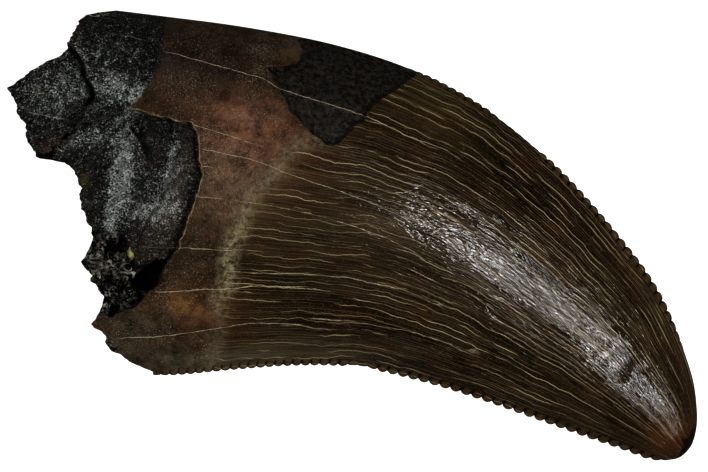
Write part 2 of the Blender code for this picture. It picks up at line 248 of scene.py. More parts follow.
@dataclass(frozen=True)
class Flake:
    """A layer that has come away: its outline, its depth and the width of the slope at its rim."""

    outline: Outline
    depth: float
    slope: float


@dataclass(frozen=True)
class Crack:
    """A long crack: its course from root to tip, and the stretches of x in which it is open."""

    course: Points
    open: Points


class Edge(Enum):
    """The two cutting edges, in the order in which a rib meets them."""

    FRONT = 0
    BACK = 1


@dataclass(frozen=True)
class DenticleRow:
    """The fine teeth of one cutting edge, with their pitch and height by length along it."""

    start_x: float
    pitch: Points
    height: Points


@dataclass
class Crown:
    """The blade's form, before anything has flaked off it.

    Each rib holds its front edge's x and y, its back edge's x and y, the height of both above the table, the
    bulges of the upper side and the under side, and how steeply the upper side leaves the front edge.
    """

    ribs: Sequence[tuple[float, ...]] = (
        (-14.16, 9.54, -14.16, -6.10, 3.60, 3.75, 3.93, 0.50),
        (-10.96, 9.24, -11.36, -5.86, 3.70, 4.00, 4.07, 0.50),
        (-7.76, 8.86, -8.96, -5.68, 3.70, 4.15, 4.03, 0.52),
        (-4.16, 8.38, -6.76, -5.56, 3.60, 4.10, 3.77, 0.56),
        (-0.56, 7.66, -4.56, -5.34, 3.45, 3.90, 3.55, 0.62),
        (2.52, 6.64, -2.16, -5.18, 3.25, 3.60, 3.43, 0.70),
        (5.44, 5.04, 0.32, -5.26, 3.00, 3.20, 3.03, 0.76),
        (8.06, 2.88, 2.84, -5.82, 2.65, 2.80, 2.52, 0.80),
        (10.42, 0.30, 5.04, -6.50, 2.25, 2.40, 2.10, 0.82),
        (12.28, -2.24, 7.64, -7.42, 1.82, 2.00, 1.72, 0.82),
        (13.34, -4.58, 9.60, -8.12, 1.42, 1.65, 1.44, 0.80),
        (13.76, -5.98, 10.88, -8.56, 1.20, 1.45, 1.27, 0.76),
        (13.88, -7.10, 11.88, -8.94, 1.08, 1.25, 1.13, 0.70),
        (13.92, -8.30, 12.98, -9.30, 0.98, 1.05, 0.90, 0.66),
    )
    upper_back_power: float = 0.80
    under_back_power: Pair = (0.39, 0.92)
    under_front_power: Pair = (0.41, 0.58)
    carina_inset: float = 0.08
    tip_rounding: float = 1.0
    tip_squareness: float = 2.9
    tip_place: float = 30.92
    under_hollow_centre: float = 0.46
    under_hollow_depth: float = 0.45
    under_hollow_width: float = 0.12
    under_hollow_end: float = 15.0
    under_arch: float = 0.10
    front_row: DenticleRow = DenticleRow(
        start_x=2.5,
        pitch=((0.0, 0.36), (3.5, 0.41), (9.0, 0.43), (18.0, 0.45)),
        height=(
            (-0.5, 0.0), (0.6, 0.07), (3.4, 0.08), (3.9, 0.02), (5.7, 0.02), (6.3, 0.1), (13.8, 0.1),
            (16.2, 0.0),
        ),
    )
    back_row: DenticleRow = DenticleRow(
        start_x=-8.0,
        pitch=((0.0, 0.34), (6.0, 0.36), (11.0, 0.44), (22.0, 0.46)),
        height=(
            (-0.3, 0.0), (0.8, 0.07), (7.6, 0.1), (8.0, 0.03), (8.6, 0.03), (9.1, 0.13), (20.4, 0.13),
            (21.4, 0.0),
        ),
    )
    full_denticle: float = 0.1
    worn_denticle: float = 0.05
    denticle_reach: float = 0.24
    denticle_bluntness: float = 0.60
    notch_share: float = 0.12
    notch_depth: float = 0.05
    notch_reach: float = 0.42
    carina_roll: float = 0.08
    carina_roll_width: float = 0.16
    edge_samples: int = 1600
    flutes: Sequence[Grain] = (Grain(0.020, 0.9, 31), Grain(0.008, 0.35, 32))
    flute_stretch: float = 5.0
    swell: Grain = Grain(0.035, 2.6, 33)
    dents: Sequence[Mark] = (
        Mark(Stroke(((9.85, -4.90), (10.12, -4.72), (10.40, -4.50))), 0.36, 0.035),
        Mark(Stroke(((11.05, -5.80), (11.20, -5.56), (11.40, -5.25))), 0.34, 0.038),
    )
    # Where the under side reads the enamel's noise, and how soon its relief is full inside the edges.
    under_draw: float = 25.0
    calm_edge: float = 9.0
    # Enough to find a point's place along the tooth to a few millionths of a millimetre.
    halvings: int = 24
    rows: Array = field(init=False, repr=False)
    places: Array = field(init=False, repr=False)

    def __post_init__(self) -> None:
        """Work out how far along the middle of the tooth each rib stands."""
        self.rows = np.array(self.ribs)
        middle = (self.rows[:, 0:2] + self.rows[:, 2:4]) / 2
        steps = np.hypot(*np.diff(middle, axis=0).T)
        self.places = np.concatenate([[0.0], np.cumsum(steps)])

    def section(self, along: Array, rounded: bool = True) -> tuple[Array, ...]:
        """The rib at each place along the tooth.

        Args:
            along: Places along the middle of the tooth.
            rounded: Whether the last rib shrinks to the rounded tip.

        Returns:
            Front edge, back edge, edge height, upper bulge, under bulge and front steepness.
        """
        rib = smooth(self.places, self.rows, along)
        front = rib[..., 0:2]
        back = rib[..., 2:4]
        across = back - front
        inward = across / np.linalg.norm(across, axis=-1, keepdims=True) * self.carina_inset
        front = front + inward
        back = back - inward
        if not rounded:
            return front, back, rib[..., 4], rib[..., 5], rib[..., 6], rib[..., 7]
        round_off = np.clip((along - self.tip_place + self.tip_rounding) / self.tip_rounding, 0, 1)
        shrink = (1 - round_off**self.tip_squareness) ** (1 / self.tip_squareness)
        middle = (front + back) / 2
        front = middle + (front - middle) * shrink[..., None]
        back = middle + (back - middle) * shrink[..., None]
        return front, back, rib[..., 4], rib[..., 5] * shrink, rib[..., 6] * shrink, rib[..., 7]

    def denticles(self, along: Array, edge: Edge) -> tuple[Array, ...]:
        """The fine teeth of one cutting edge at each place along the tooth.

        Args:
            along: Places along the middle of the tooth.
            edge: Which cutting edge.

        Returns:
            How high a tooth stands here at its fullest, how many teeth there are up to here, and which way
            is out.
        """
        row = (self.front_row, self.back_row)[edge.value]
        places = np.linspace(0, self.tip_place, self.edge_samples)
        ends = self.section(places)
        course = ends[edge.value]
        other = ends[1 - edge.value]
        steps = np.hypot(*np.diff(course, axis=0).T)
        arc = np.concatenate([[0.0], np.cumsum(steps)])
        arc -= np.interp(row.start_x, course[:, 0], arc)
        tangent = np.gradient(course, axis=0)
        tangent /= np.maximum(np.linalg.norm(tangent, axis=1, keepdims=True), TINY)
        normal = np.stack([-tangent[:, 1], tangent[:, 0]], axis=1)
        normal *= np.sign(((course - other) * normal).sum(axis=1, keepdims=True))
        pitch = table(row.pitch, (arc[1:] + arc[:-1]) / 2)
        count = np.concatenate([[0.0], np.cumsum(np.diff(arc) / pitch)])
        count -= np.interp(0.0, arc, count)
        tall = table(row.height, np.interp(along, places, arc))
        out = np.stack([np.interp(along, places, part) for part in normal.T], axis=-1)
        return tall, np.interp(along, places, count), out

    def profile(self, share: Array, front_power: Array, back_power: Array) -> Array:
        """The bulge of a rib at each share of the way across, 1 at its crest."""
        crest = front_power / (front_power + back_power)
        return (share / crest) ** front_power * ((1 - share) / (1 - crest)) ** back_power

    def relief(self, share: Array, along: Array, plan: Array, upper: Array) -> Array:
        """The low flutes, swellings and dents of the enamel.

        Args:
            share: How far across each point lies.
            along: How far along the tooth it lies.
            plan: Its x and y.
            upper: Whether it is on the upper side.

        Returns:
            The height of each point above the plain blade.
        """
        across = share * BLADE_WIDTH + np.where(upper, 0.0, self.under_draw)
        low = rough(across, along / self.flute_stretch, self.flutes)
        low += rough(across, along, (self.swell,))
        for dent in self.dents:
            low -= np.where(upper, dent.height(plan[..., 0], plan[..., 1]), 0.0)
        return low * ramp(np.minimum(share, 1 - share) * self.calm_edge)

    def points(self, share: Array, along: Array, upper: Array) -> Array:
        """Points of the outer form.

        Args:
            share: How far across each point lies, from the front edge to the back one.
            along: How far along the tooth it lies.
            upper: Whether it is on the upper side.

        Returns:
            x, y and z of each point.
        """
        front, back, edge_height, top, under, front_power = self.section(along)
        plan = front + (back - front) * share[..., None]
        span = np.linalg.norm(back - front, axis=-1)
        crown = ramp(along / self.under_hollow_end)
        ends = self.under_front_power, self.under_back_power
        powers = [root + (tip - root) * crown for root, tip in ends]
        arch = self.under_arch * np.sin(np.pi * np.clip(along / self.tip_place, 0, 1)) ** 2
        rise = top * self.profile(share, front_power, self.upper_back_power)
        fall = (under - arch) * self.profile(share, *powers)
        roll = np.zeros(share.shape)
        for edge, inward in ((Edge.FRONT, share * span), (Edge.BACK, (1 - share) * span)):
            gap = np.hypot(inward, np.where(upper, rise, fall))
            tall, count, out = self.denticles(along, edge)
            bead = np.abs(np.sin(np.pi * count)) ** self.denticle_bluntness
            notch = tall / self.full_denticle * (1 - bead)
            bulge = tall * (bead - self.notch_share * (1 - bead))
            plan = plan + out * (bulge * np.exp(-((gap / self.denticle_reach) ** 2)))[..., None]
            rounded = np.sqrt(np.clip(1 - (1 - np.clip(gap / self.carina_roll_width, 0, 1)) ** 2, 0, 1))
            fade = np.exp(-np.maximum(gap - self.carina_roll_width, 0) / self.carina_roll_width)
            present = np.clip((tall * bead + notch * self.full_denticle) / self.worn_denticle, 0, 1)
            roll += present * self.carina_roll * rounded * fade
            roll -= self.notch_depth * notch * rounded * np.exp(-((gap / self.notch_reach) ** 2))
        off_centre = (share - self.under_hollow_centre) / self.under_hollow_width
        hollow = self.under_hollow_depth * np.exp(-(off_centre**2)) * (1 - crown)
        bump = self.relief(share, along, plan, upper)
        upper_z = edge_height + rise + roll + bump
        under_z = edge_height - fall - roll + hollow + bump
        z = np.where(upper, upper_z, under_z)
        return np.concatenate([plan, z[..., None]], axis=-1)

    def place_of(self, x: Array, y: Array) -> tuple[Array, Array]:
        """Where points of the plan lie on the blade, found by halving.

        Args:
            x: Their x.
            y: Their y.

        Returns:
            The share of the way across and the place along the tooth.
        """
        low = np.zeros(x.shape)
        high = np.full(x.shape, self.tip_place)
        for _ in range(self.halvings):
            middle = (low + high) / 2
            front, back = self.section(middle, rounded=False)[:2]
            rib = back - front
            ahead = rib[..., 0] * (y - front[..., 1]) - rib[..., 1] * (x - front[..., 0]) > 0
            low = np.where(ahead, middle, low)
            high = np.where(ahead, high, middle)
        front, back = self.section(low, rounded=False)[:2]
        rib = back - front
        run = rib[..., 0] * (x - front[..., 0]) + rib[..., 1] * (y - front[..., 1])
        return run / (rib**2).sum(axis=-1), low


@dataclass
class BrokenRoot:
    """The snapped end of the tooth and the layers that have flaked off near it."""

    upper_break: Points = (
        (-9.64, 9.00), (-10.28, 8.88), (-10.96, 8.32), (-11.28, 7.52), (-11.64, 7.16), (-12.48, 6.64),
        (-13.60, 5.84), (-13.20, 4.88), (-12.84, 3.84), (-12.44, 3.06), (-11.36, 3.00), (-11.04, 2.72),
        (-10.76, 1.64), (-10.72, 1.00), (-10.44, 0.72), (-10.32, -0.80), (-10.76, -1.00), (-10.76, -1.24),
        (-10.32, -1.92), (-9.88, -2.52), (-9.52, -3.04), (-10.20, -3.36), (-10.24, -3.56), (-9.84, -4.24),
        (-9.56, -4.60), (-8.96, -5.04), (-7.96, -5.44),
    )
    under_break: Points = (
        (-9.64, 9.00), (-9.95, 8.40), (-9.70, 7.00), (-10.05, 5.60), (-9.60, 4.40), (-9.95, 3.20),
        (-9.45, 2.00), (-9.75, 0.60), (-9.30, -0.80), (-9.60, -1.90), (-8.90, -3.00), (-9.30, -3.90),
        (-8.80, -4.80), (-7.96, -5.44),
    )
    inner_wall: Outline = Outline((
        (-8.84, 4.96), *INNER_EDGE, (-11.50, -3.20), (-14.50, 0.00), (-14.50, 3.40), (-12.00, 3.20),
        (-11.64, 3.52), (-11.48, 3.80), (-10.96, 4.24), (-10.68, 4.56), (-9.88, 4.60),
    ))
    second_wall: Outline = Outline((
        (-8.60, 4.60), *STEP_EDGE, (-8.00, 0.60), (-8.56, -0.44), (-11.50, -1.00), (-11.50, 1.00),
        (-9.60, 3.00),
    ))
    slab: Outline = Outline((
        (-11.36, 7.60), *SLAB_EDGE, (-10.68, 4.56), (-10.96, 4.24), (-11.48, 3.80), (-11.64, 3.52),
        (-12.00, 3.20), (-14.50, 3.00), (-14.50, 8.20),
    ))
    infill: Outline = Outline((
        (-9.90, 0.20), (-9.20, 0.05), (-8.90, -0.50), (-8.62, -1.36), (-7.90, -1.08), (-7.14, -0.74),
        (-7.55, -1.50), (-8.05, -2.15), (-8.70, -2.85), (-9.55, -3.05), (-11.50, -3.00), (-11.50, 0.20),
    ))
    deep_pit: Outline = Outline((
        (-7.16, -0.80), (-7.88, -1.12), (-8.56, -1.40), (-9.08, -1.64), (-8.84, -2.08), (-8.04, -2.08),
        (-7.64, -1.76),
    ))
    small_pit: Outline = Outline((
        (-9.80, -0.20), (-9.20, -0.10), (-8.95, -0.60), (-9.20, -1.00), (-9.75, -0.85),
    ))
    chip: Outline = Outline((
        (-3.40, 6.68), (-2.96, 5.88), (-2.60, 5.24), (-2.20, 4.60), (-1.96, 4.32), (-1.44, 4.04),
        (-1.04, 3.64), (-0.60, 3.68), (-0.16, 4.16), (0.52, 4.72), (1.04, 5.36), (1.80, 5.96), (2.44, 6.38),
        (2.30, 8.60), (-1.90, 8.80), (-2.20, 7.60), (-2.08, 7.28), (-2.32, 6.88), (-2.96, 6.68),
    ))
    under_shell: Outline = Outline((
        (-8.60, 2.90), (-7.90, 2.60), (-7.20, 1.90), (-7.40, 1.00), (-6.90, 0.20), (-7.60, -0.50),
        (-8.60, -0.80), (-11.50, -0.90), (-11.50, 2.90),
    ))
    under_scale: Outline = Outline((
        (3.40, -3.60), (4.60, -2.90), (5.60, -3.40), (6.30, -4.40), (5.60, -5.20), (4.10, -4.70),
    ))
    grooves: Sequence[Mark] = (
        Mark(Stroke(((-11.36, 7.48), *SLAB_EDGE)), 0.07, 0.22),
        Mark(Stroke(((-8.76, 4.28), (-8.36, 3.76), (-8.08, 3.00))), 0.07, 0.16),
        Mark(Stroke(((-8.44, 4.22), (-8.12, 3.60), (-7.98, 3.10))), 0.05, 0.08),
    )
    ridges: Sequence[Mark] = (
        Mark(Stroke((
            (-11.64, 3.52), (-11.48, 3.80), (-10.96, 4.24), (-10.68, 4.56), (-9.88, 4.60), (-8.84, 5.04),
        )), 0.16, 0.10),
        Mark(Stroke(STEP_EDGE), 0.10, 0.07),
    )
    wall: float = 0.9
    recess: float = 0.5
    infill_face_x: float = -9.9
    infill_bulge: float = 0.3
    root_centre: Pair = (2.2, 3.6)
    wall_step: float = 0.15
    seat_step: float = 0.4
    face_ease: float = 5.0
    face_grains: Sequence[Grain] = (
        Grain(0.45, 0.9, 7), Grain(0.225, 0.4, 8), Grain(0.11, 0.2, 9), Grain(0.05, 0.1, 10),
    )
    jags: Sequence[Grain] = (Grain(0.13, 0.42, 41), Grain(0.09, 0.19, 42), Grain(0.04, 0.08, 43))
    wall_grains: Sequence[Grain] = (Grain(0.10, 0.5, 11), Grain(0.06, 0.22, 12), Grain(0.03, 0.11, 13))
    wander: Sequence[Grain] = (Grain(0.10, 0.5, 3), Grain(0.05, 0.2, 4), Grain(0.025, 0.09, 14))
    infill_roughness: float = 0.45
    lumps: Sequence[Grain] = (Grain(0.6, 0.55, 5), Grain(0.4, 0.28, 6), Grain(0.22, 0.14, 15))
    lump_rim: float = 0.3
    flake_grains: Sequence[Grain] = (Grain(0.045, 0.42, 16), Grain(0.030, 0.2, 17), Grain(0.016, 0.1, 18))
    chip_grains: Sequence[Grain] = (Grain(0.050, 0.7, 19), Grain(0.030, 0.3, 20), Grain(0.014, 0.13, 21))
    shallow_rim: float = 0.8
    bare_rim: float = 0.15
    chip_rim: float = 0.2
    # The sediment shows inside the under side's shell, and in a core that reaches a little past its face.
    shell_inset: float = 0.25
    core_depth: float = 0.5
    core_outside: float = -1.0
    core_half_height: float = 1.6
    core_end_x: float = -8.6
    break_reach: float = 9.0
    break_samples: int = 900
    upper_flakes: Sequence[Flake] = field(init=False, repr=False)
    under_flakes: Sequence[Flake] = field(init=False, repr=False)

    def __post_init__(self) -> None:
        """List the layers that each side has lost."""
        self.upper_flakes = (
            Flake(self.inner_wall, 0.35, 0.10),
            Flake(self.second_wall, 0.18, 0.10),
            Flake(self.slab, 0.50, 0.12),
            Flake(self.infill, 0.45, 0.22),
            Flake(self.deep_pit, 1.20, 0.30),
            Flake(self.small_pit, 0.60, 0.25),
            Flake(self.chip, 0.30, 0.10),
        )
        self.under_flakes = (Flake(self.under_shell, 0.30, 0.14), Flake(self.under_scale, 0.12, 0.12))

    @property
    def middle(self) -> Array:
        """The middle of the broken face."""
        return np.array([self.infill_face_x + self.infill_bulge, *self.root_centre])

    def sunk(self, x: Array, y: Array, flakes: Sequence[Flake]) -> Array:
        """How deep the lost layers reach, their rims wandering a little.

        Args:
            x: The points' x.
            y: Their y.
            flakes: The lost layers.

        Returns:
            The depth at each point.
        """
        wander = rough(x, y, self.wander)
        lowered = np.zeros(x.shape)
        for flake in flakes:
            lowered += flake.depth * ramp((flake.outline.depth(x, y) + wander) / flake.slope + 0.5)
        return lowered

    def sediment_depth(self, x: Array, y: Array, z: Array, upper: Array) -> Array:
        """How far points lie inside the sediment that fills the root.

        Args:
            x: The points' x.
            y: Their y.
            z: Their z.
            upper: Whether each is on the upper side.

        Returns:
            The distance of each point, below zero outside the sediment.
        """
        depth = np.where(upper, self.infill.depth(x, y), self.under_shell.depth(x, y) - self.shell_inset)
        core = np.where(x < self.infill_face_x + self.core_depth, self.core_depth, self.core_outside)
        deep = (np.abs(z - self.root_centre[1]) < self.core_half_height) & (x < self.core_end_x)
        return np.where(deep, np.maximum(depth, core), depth)

    def sink(self, points: Array, upper: Array, edge_height: Array) -> None:
        """Take the lost layers off both sides, easing to nothing at the silhouette.

        Args:
            points: The blade's points, which are changed.
            upper: Whether each is on the upper side.
            edge_height: The height of the cutting edges at each.
        """
        x, y, z = np.moveaxis(points, -1, 0)
        bare = ramp(self.inner_wall.depth(x, y) / self.bare_rim) + ramp(self.slab.depth(x, y) / self.bare_rim)
        rim = ramp(self.infill.depth(x, y) / self.lump_rim)
        lumps = self.infill_roughness * rim * rough(x, y, self.lumps)
        lumps += np.clip(bare, 0, 1) * rough(x, y, self.flake_grains)
        lumps += ramp(self.chip.depth(x, y) / self.chip_rim) * rough(x, y, self.chip_grains)
        for groove in self.grooves:
            lumps += groove.height(x, y)
        for ridge in self.ridges:
            lumps -= ridge.height(x, y)
        room = ramp(np.abs(z - edge_height) / self.shallow_rim)
        down = (self.sunk(x, y, self.upper_flakes) + lumps) * room
        up = self.sunk(x, y, self.under_flakes) * room
        points[..., 2] += np.where(upper, -down, up)

    def place(self, crown: Crown, share: Array, line: Points) -> Array:
        """Where along the tooth each share of the way across meets the line of the break.

        Args:
            crown: The blade that is broken.
            share: Shares of the way across.
            line: The line of the break, front to back.

        Returns:
            The place along the tooth for each share.
        """
        along = np.linspace(0, self.break_reach, self.break_samples)
        front, back = crown.section(along)[:2]
        x_line, y_line = np.array(line[::-1]).T
        found = []
        for part in share:
            path = front + (back - front) * part
            past = path[:, 0] - np.interp(path[:, 1], y_line, x_line)
            found.append(along[np.argmax(past >= 0)])
        return np.array(found)

    def jagged(self, ring: Array) -> Array:
        """How far the break's roughness stands in at each point of a ring."""
        return np.abs(rough(ring[:, 1], ring[:, 2], self.wall_grains))

    def face_ring(self, rim: Array, step: float) -> Array:
        """One ring of the broken face.

        Args:
            rim: The last ring of the blade.
            step: How far in, from 0 at the rim to 1 in the middle of the infill.

        Returns:
            The ring's points.
        """
        toward = np.array(self.root_centre) - rim[:, 1:3]
        toward /= np.linalg.norm(toward, axis=1, keepdims=True)
        inner = rim.copy()
        inner[:, 1:3] += toward * self.wall
        y_line, x_line = np.array(self.upper_break[::-1])[:, ::-1].T
        inner[:, 0] = np.maximum(inner[:, 0], np.interp(inner[:, 1], y_line, x_line))
        seat = inner.copy()
        seat[:, 0] = np.maximum(inner[:, 0] + self.recess, self.infill_face_x)
        if step < self.wall_step:
            share = step / self.wall_step
            ring = rim + (inner - rim) * share
            ring[:, 0] += self.jagged(ring) * ramp(share * self.face_ease)
            return ring
        if step < self.seat_step:
            ring = inner + (seat - inner) * ((step - self.wall_step) / (self.seat_step - self.wall_step))
            ring[:, 0] += self.jagged(ring)
            return ring
        share = (step - self.seat_step) / (1 - self.seat_step)
        ring = seat + (self.middle - seat) * share
        ring[:, 0] += rough(ring[:, 1], ring[:, 2], self.face_grains) * ramp(share * self.face_ease)
        ring[:, 0] += self.jagged(ring) * (1 - ramp(share * self.face_ease))
        return ring


def evened(values: Array, window: int) -> Array:
    """A run of values that goes round the tooth, with its jags averaged away.

    Args:
        values: The values, one for each step round the tooth.
        window: How many of them are averaged.

    Returns:
        The evened values.
    """
    weights = np.hanning(window + 2)[1:-1]
    wrapped = np.concatenate([values[-window:], values, values[:window]])
    return np.convolve(wrapped, weights / weights.sum(), mode="same")[window:-window]


@dataclass(frozen=True)
class Stain:
    """A soft patch: its middle, its two radii, its turn in degrees, its strength and its colour, if any."""

    centre: Pair
    radii: Pair
    turn: float
    strength: float
    colour: str = ""

    def weight(self, x: Array, y: Array) -> Array:
        """How much of the patch shows.

        Args:
            x: The points' x.
            y: Their y.

        Returns:
            Its share at each point, from 0 to 1.
        """
        cos, sin = math.cos(math.radians(self.turn)), math.sin(math.radians(self.turn))
        dx, dy = x - self.centre[0], y - self.centre[1]
        along = (dx * cos + dy * sin) / self.radii[0]
        across = (dy * cos - dx * sin) / self.radii[1]
        return self.strength * np.exp(-(along**2 + across**2))


@dataclass
class Markings:
    """Where each kind of surface lies on the tooth, and its stains and long cracks."""

    enamel: Outline = Outline((
        (-0.96, 3.84), (-2.16, 3.44), (-2.76, 2.44), (-3.68, 1.64), (-4.16, 0.64), (-4.32, 0.20),
        (-4.68, -0.44), (-4.80, -1.08), (-4.76, -1.52), (-4.88, -2.08), (-5.16, -2.52), (-5.20, -2.92),
        (-5.16, -3.36), (-5.28, -4.36), (-5.56, -5.44), (-5.56, -10.5), (16.2, -10.5), (16.2, 10.0),
        (1.60, 10.0), (1.48, 6.88), (0.20, 5.00),
    ))
    charcoal: Outline = Outline((
        (-7.40, 9.60), (-7.44, 8.40), (-7.56, 7.60), (-7.72, 7.00), (-7.84, 6.56), (-8.04, 6.08),
        (-8.36, 5.64), (-8.84, 5.04), *INNER_EDGE, (-15.0, -3.20), (-15.0, 9.60),
    ))
    worn_tip: Outline = Outline((
        (12.95, -9.60), (13.10, -8.84), (13.26, -8.24), (13.48, -7.86), (13.72, -7.50), (14.50, -7.20),
        (14.50, -9.60),
    ))
    # The tip is rubbed most at this height.
    worn_rise: float = 0.06
    worn_slope: float = 0.05
    worn_height: float = 2.4
    base: str = "32271b"
    stains: Sequence[Stain] = (
        Stain((6.5, 2.4), (7.0, 1.5), -46, 0.9, "150e08"),
        Stain((3.2, 5.2), (2.2, 0.9), -32, 0.8, "4c3f27"),
        Stain((-0.4, 0.2), (5.0, 2.2), -18, 0.7, "3b3123"),
        Stain((3.0, -4.4), (7.5, 1.4), -16, 0.85, "1b140a"),
        # Grey band along the back edge near the root: partly its own colour, partly painted sheen, made
        # lighter for the edge.
        Stain((-4.6, -4.9), (5.5, 0.60), 3, 0.9, "4d4537"),
        Stain((-4.2, 4.2), (2.4, 1.8), -20, 0.9, "6a4b38"),
        Stain((-4.1, 4.8), (0.7, 0.6), -20, 0.5, "84665a"),
        Stain((-4.8, 1.7), (1.7, 1.4), 0, 0.8, "66503a"),
        Stain((-5.6, 6.8), (3.2, 1.1), -12, 0.92, "21180f"),
        Stain((-6.6, 4.0), (1.0, 1.6), 0, 0.7, "3a2a20"),
        Stain((-6.2, -2.9), (1.9, 1.1), 0, 0.8, "583e28"),
        Stain((-6.6, -2.8), (0.6, 0.4), 0, 0.5, "7b5a2e"),
        # The rounded lower lobe: partly its own colour, partly painted light, made lighter for the lower
        # edge.
        Stain((-8.8, -3.9), (1.6, 0.9), 10, 0.9, "3f382d"),
        Stain((-2.5, 7.2), (0.40, 0.45), 0, 0.7, "574429"),
        Stain((11.6, -6.2), (2.2, 1.6), -50, 0.85, "23160b"),
        Stain((12.6, -8.0), (0.75, 0.85), -45, 0.80, "5a3819"),
    )
    # Toward the front cutting edge the black runs out softly, over more of the surface.
    blurred_from: float = 5.0
    blur: float = 0.7
    char_base: str = "0b0b09"
    char_stains: Sequence[Stain] = (
        Stain((-6.9, 2.2), (2.2, 0.45), 75, 0.9, "43372e"),
        Stain((-7.6, 0.4), (1.3, 0.7), 60, 0.85, "43352b"),
        Stain((-7.75, -0.75), (0.9, 0.3), 10, 0.95, "33261a"),
        Stain((-8.3, -0.35), (0.7, 0.4), 0, 0.9, "33281f"),
        Stain((-8.0, 3.2), (0.9, 0.5), 100, 0.8, "2c211c"),
        Stain((-11.9, 3.55), (0.55, 0.25), 20, 0.8, "4a322a"),
        Stain((-11.2, 8.3), (0.9, 0.3), 60, 0.8, "4f362c"),
        Stain((-10.5, 1.0), (1.6, 0.5), 90, 0.7, "221d15"),
        Stain((-10.64, 2.16), (0.22, 0.28), 0, 0.7, "5a4f24"),
    )
    # Patches where pale specks are painted on the black root as glints, laid where the root catches the
    # light.
    glints: Sequence[Stain] = (
        Stain((-8.56, 5.52), (0.85, 0.30), 58, 1.0),
        Stain((-9.56, 5.92), (0.90, 0.60), 0, 0.80),
        Stain((-9.04, 3.04), (1.20, 0.60), 85, 0.95),
        Stain((-9.36, 1.44), (1.00, 0.50), 80, 0.85),
        Stain((-9.64, 0.32), (0.60, 0.22), 90, 0.80),
        Stain((-7.16, 2.92), (0.95, 0.17), 80, 1.0),
        Stain((-7.56, 1.44), (1.30, 0.90), 70, 0.60),
        Stain((-8.16, 0.84), (1.00, 0.50), 0, 0.45),
        Stain((-11.76, 5.64), (1.70, 1.20), 10, 0.60),
        Stain((-10.36, 3.84), (1.20, 0.50), 20, 0.55),
        Stain((-10.2, 7.3), (1.70, 0.80), 10, 0.35),
        Stain((-9.0, -2.0), (1.20, 0.90), 0, 0.15),
    )
    cracks: Sequence[Crack] = (
        Crack((
            (-9.68, 8.04), (-8.88, 7.92), (-8.28, 7.76), (-7.56, 7.32), (-7.00, 7.20), (-5.60, 6.80),
            (-4.56, 6.52), (-3.44, 6.20), (-2.96, 5.84), (-2.16, 5.58), (-1.28, 5.32), (-0.36, 5.04),
            (0.44, 4.76), (0.84, 4.60), (2.24, 3.92), (3.64, 3.44), (7.00, 1.20),
        ), ((-9.8, -8.2), (-7.5, 4.4))),
        Crack(((-9.44, 7.56), (-8.88, 7.28), (-8.36, 6.76), (-4.56, 5.90), (3.64, 2.90)), ((-9.6, -8.3),)),
        Crack((
            (-13.20, 5.76), (-11.52, 5.52), (-10.68, 6.72), (-10.20, 6.64), (-9.40, 6.44), (-8.76, 6.32),
            (-4.56, 5.10), (3.64, 2.40),
        ), ((-13.2, -11.6), (-10.7, -8.7))),
        Crack((
            (-13.08, 4.92), (-11.12, 4.56), (-8.84, 4.96), (-7.76, 4.72), (-6.40, 4.40), (-4.56, 3.84),
            (3.64, 1.00),
        ), ((-13.0, -11.1), (-8.9, -3.8))),
        Crack((
            (-9.50, 3.90), (-5.96, 3.44), (-3.76, 2.96), (-2.56, 2.44), (-1.36, 2.04), (-0.28, 1.68),
            (0.96, 1.20), (1.92, 0.76), (2.80, 0.48), (3.88, -0.12), (6.50, -1.80),
        ), ((-6.1, 5.0),)),
        Crack(((-9.50, 3.00), (-6.76, 2.80), (-5.56, 2.72), (-2.56, 1.75), (3.88, -0.60)), ((-6.8, -5.4),)),
        Crack((
            (-9.50, 1.80), (-6.28, 1.56), (-5.28, 1.48), (-4.56, 1.40), (-3.76, 1.28), (-2.96, 1.14),
            (-2.12, 0.98), (-1.24, 0.76), (-0.28, 0.48), (0.32, 0.28), (1.32, -0.08), (4.50, -1.70),
        ), ((-6.3, -5.0), (-4.5, 2.6))),
        Crack((
            (-8.52, -0.46), (-7.00, -0.50), (-6.24, -0.52), (-5.28, -0.58), (-4.40, -0.59), (1.30, -1.00),
        ), ((-8.6, -3.6),)),
        Crack((
            (-9.00, -1.35), (-4.56, -1.44), (-3.76, -1.51), (-2.24, -1.50), (-0.88, -1.62), (-0.04, -1.68),
            (0.64, -1.86), (1.24, -1.98), (2.04, -2.16), (6.00, -4.00),
        ), ((-4.9, 3.6),)),
        Crack((
            (-9.00, -2.10), (-7.84, -2.22), (-7.48, -2.23), (-6.56, -2.18), (-5.88, -2.12), (-5.16, -2.14),
            (-4.72, -2.08), (-4.00, -2.00), (-3.44, -2.02), (-2.16, -2.08), (-1.36, -2.14), (2.00, -2.70),
        ), ((-7.9, -0.9),)),
        Crack((
            (-9.32, -3.50), (-5.04, -3.20), (-1.52, -3.30), (-0.64, -3.36), (-0.16, -3.39), (0.28, -3.48),
            (1.24, -3.64), (2.16, -3.79), (3.04, -4.04), (6.00, -5.10),
        ), ((-1.8, 5.0),)),
        Crack((
            (-9.32, -4.08), (-7.52, -4.00), (-6.40, -3.84), (-5.04, -3.64), (-4.12, -3.48), (-2.52, -3.50),
            (-1.52, -3.70), (3.00, -4.50),
        ), ((-9.4, -1.4),)),
    )
    crack_end: float = 0.35
    # Two courses are this far apart at least, and past the outermost ones the number goes on by this much.
    least_gap: float = 0.05
    past_outermost: float = 0.45

    def tone(self, x: Array, y: Array, base: str, stains: Sequence[Stain]) -> Array:
        """The colour of each point, as a linear one.

        Args:
            x: The points' x.
            y: Their y.
            base: The colour between the stains.
            stains: The stains, laid one over the other.

        Returns:
            Red, green, blue and alpha of each point.
        """
        colour = np.broadcast_to(linear(base), (*x.shape, 4)).copy()
        for stain in stains:
            weight = stain.weight(x, y)[..., None]
            colour += (np.array(linear(stain.colour)) - colour) * weight
        return colour

    def glint(self, x: Array, y: Array) -> Array:
        """How many pale specks are painted on the black root as glints at each point, from 0 to 1."""
        return np.clip(sum(stain.weight(x, y) for stain in self.glints), 0, 1)

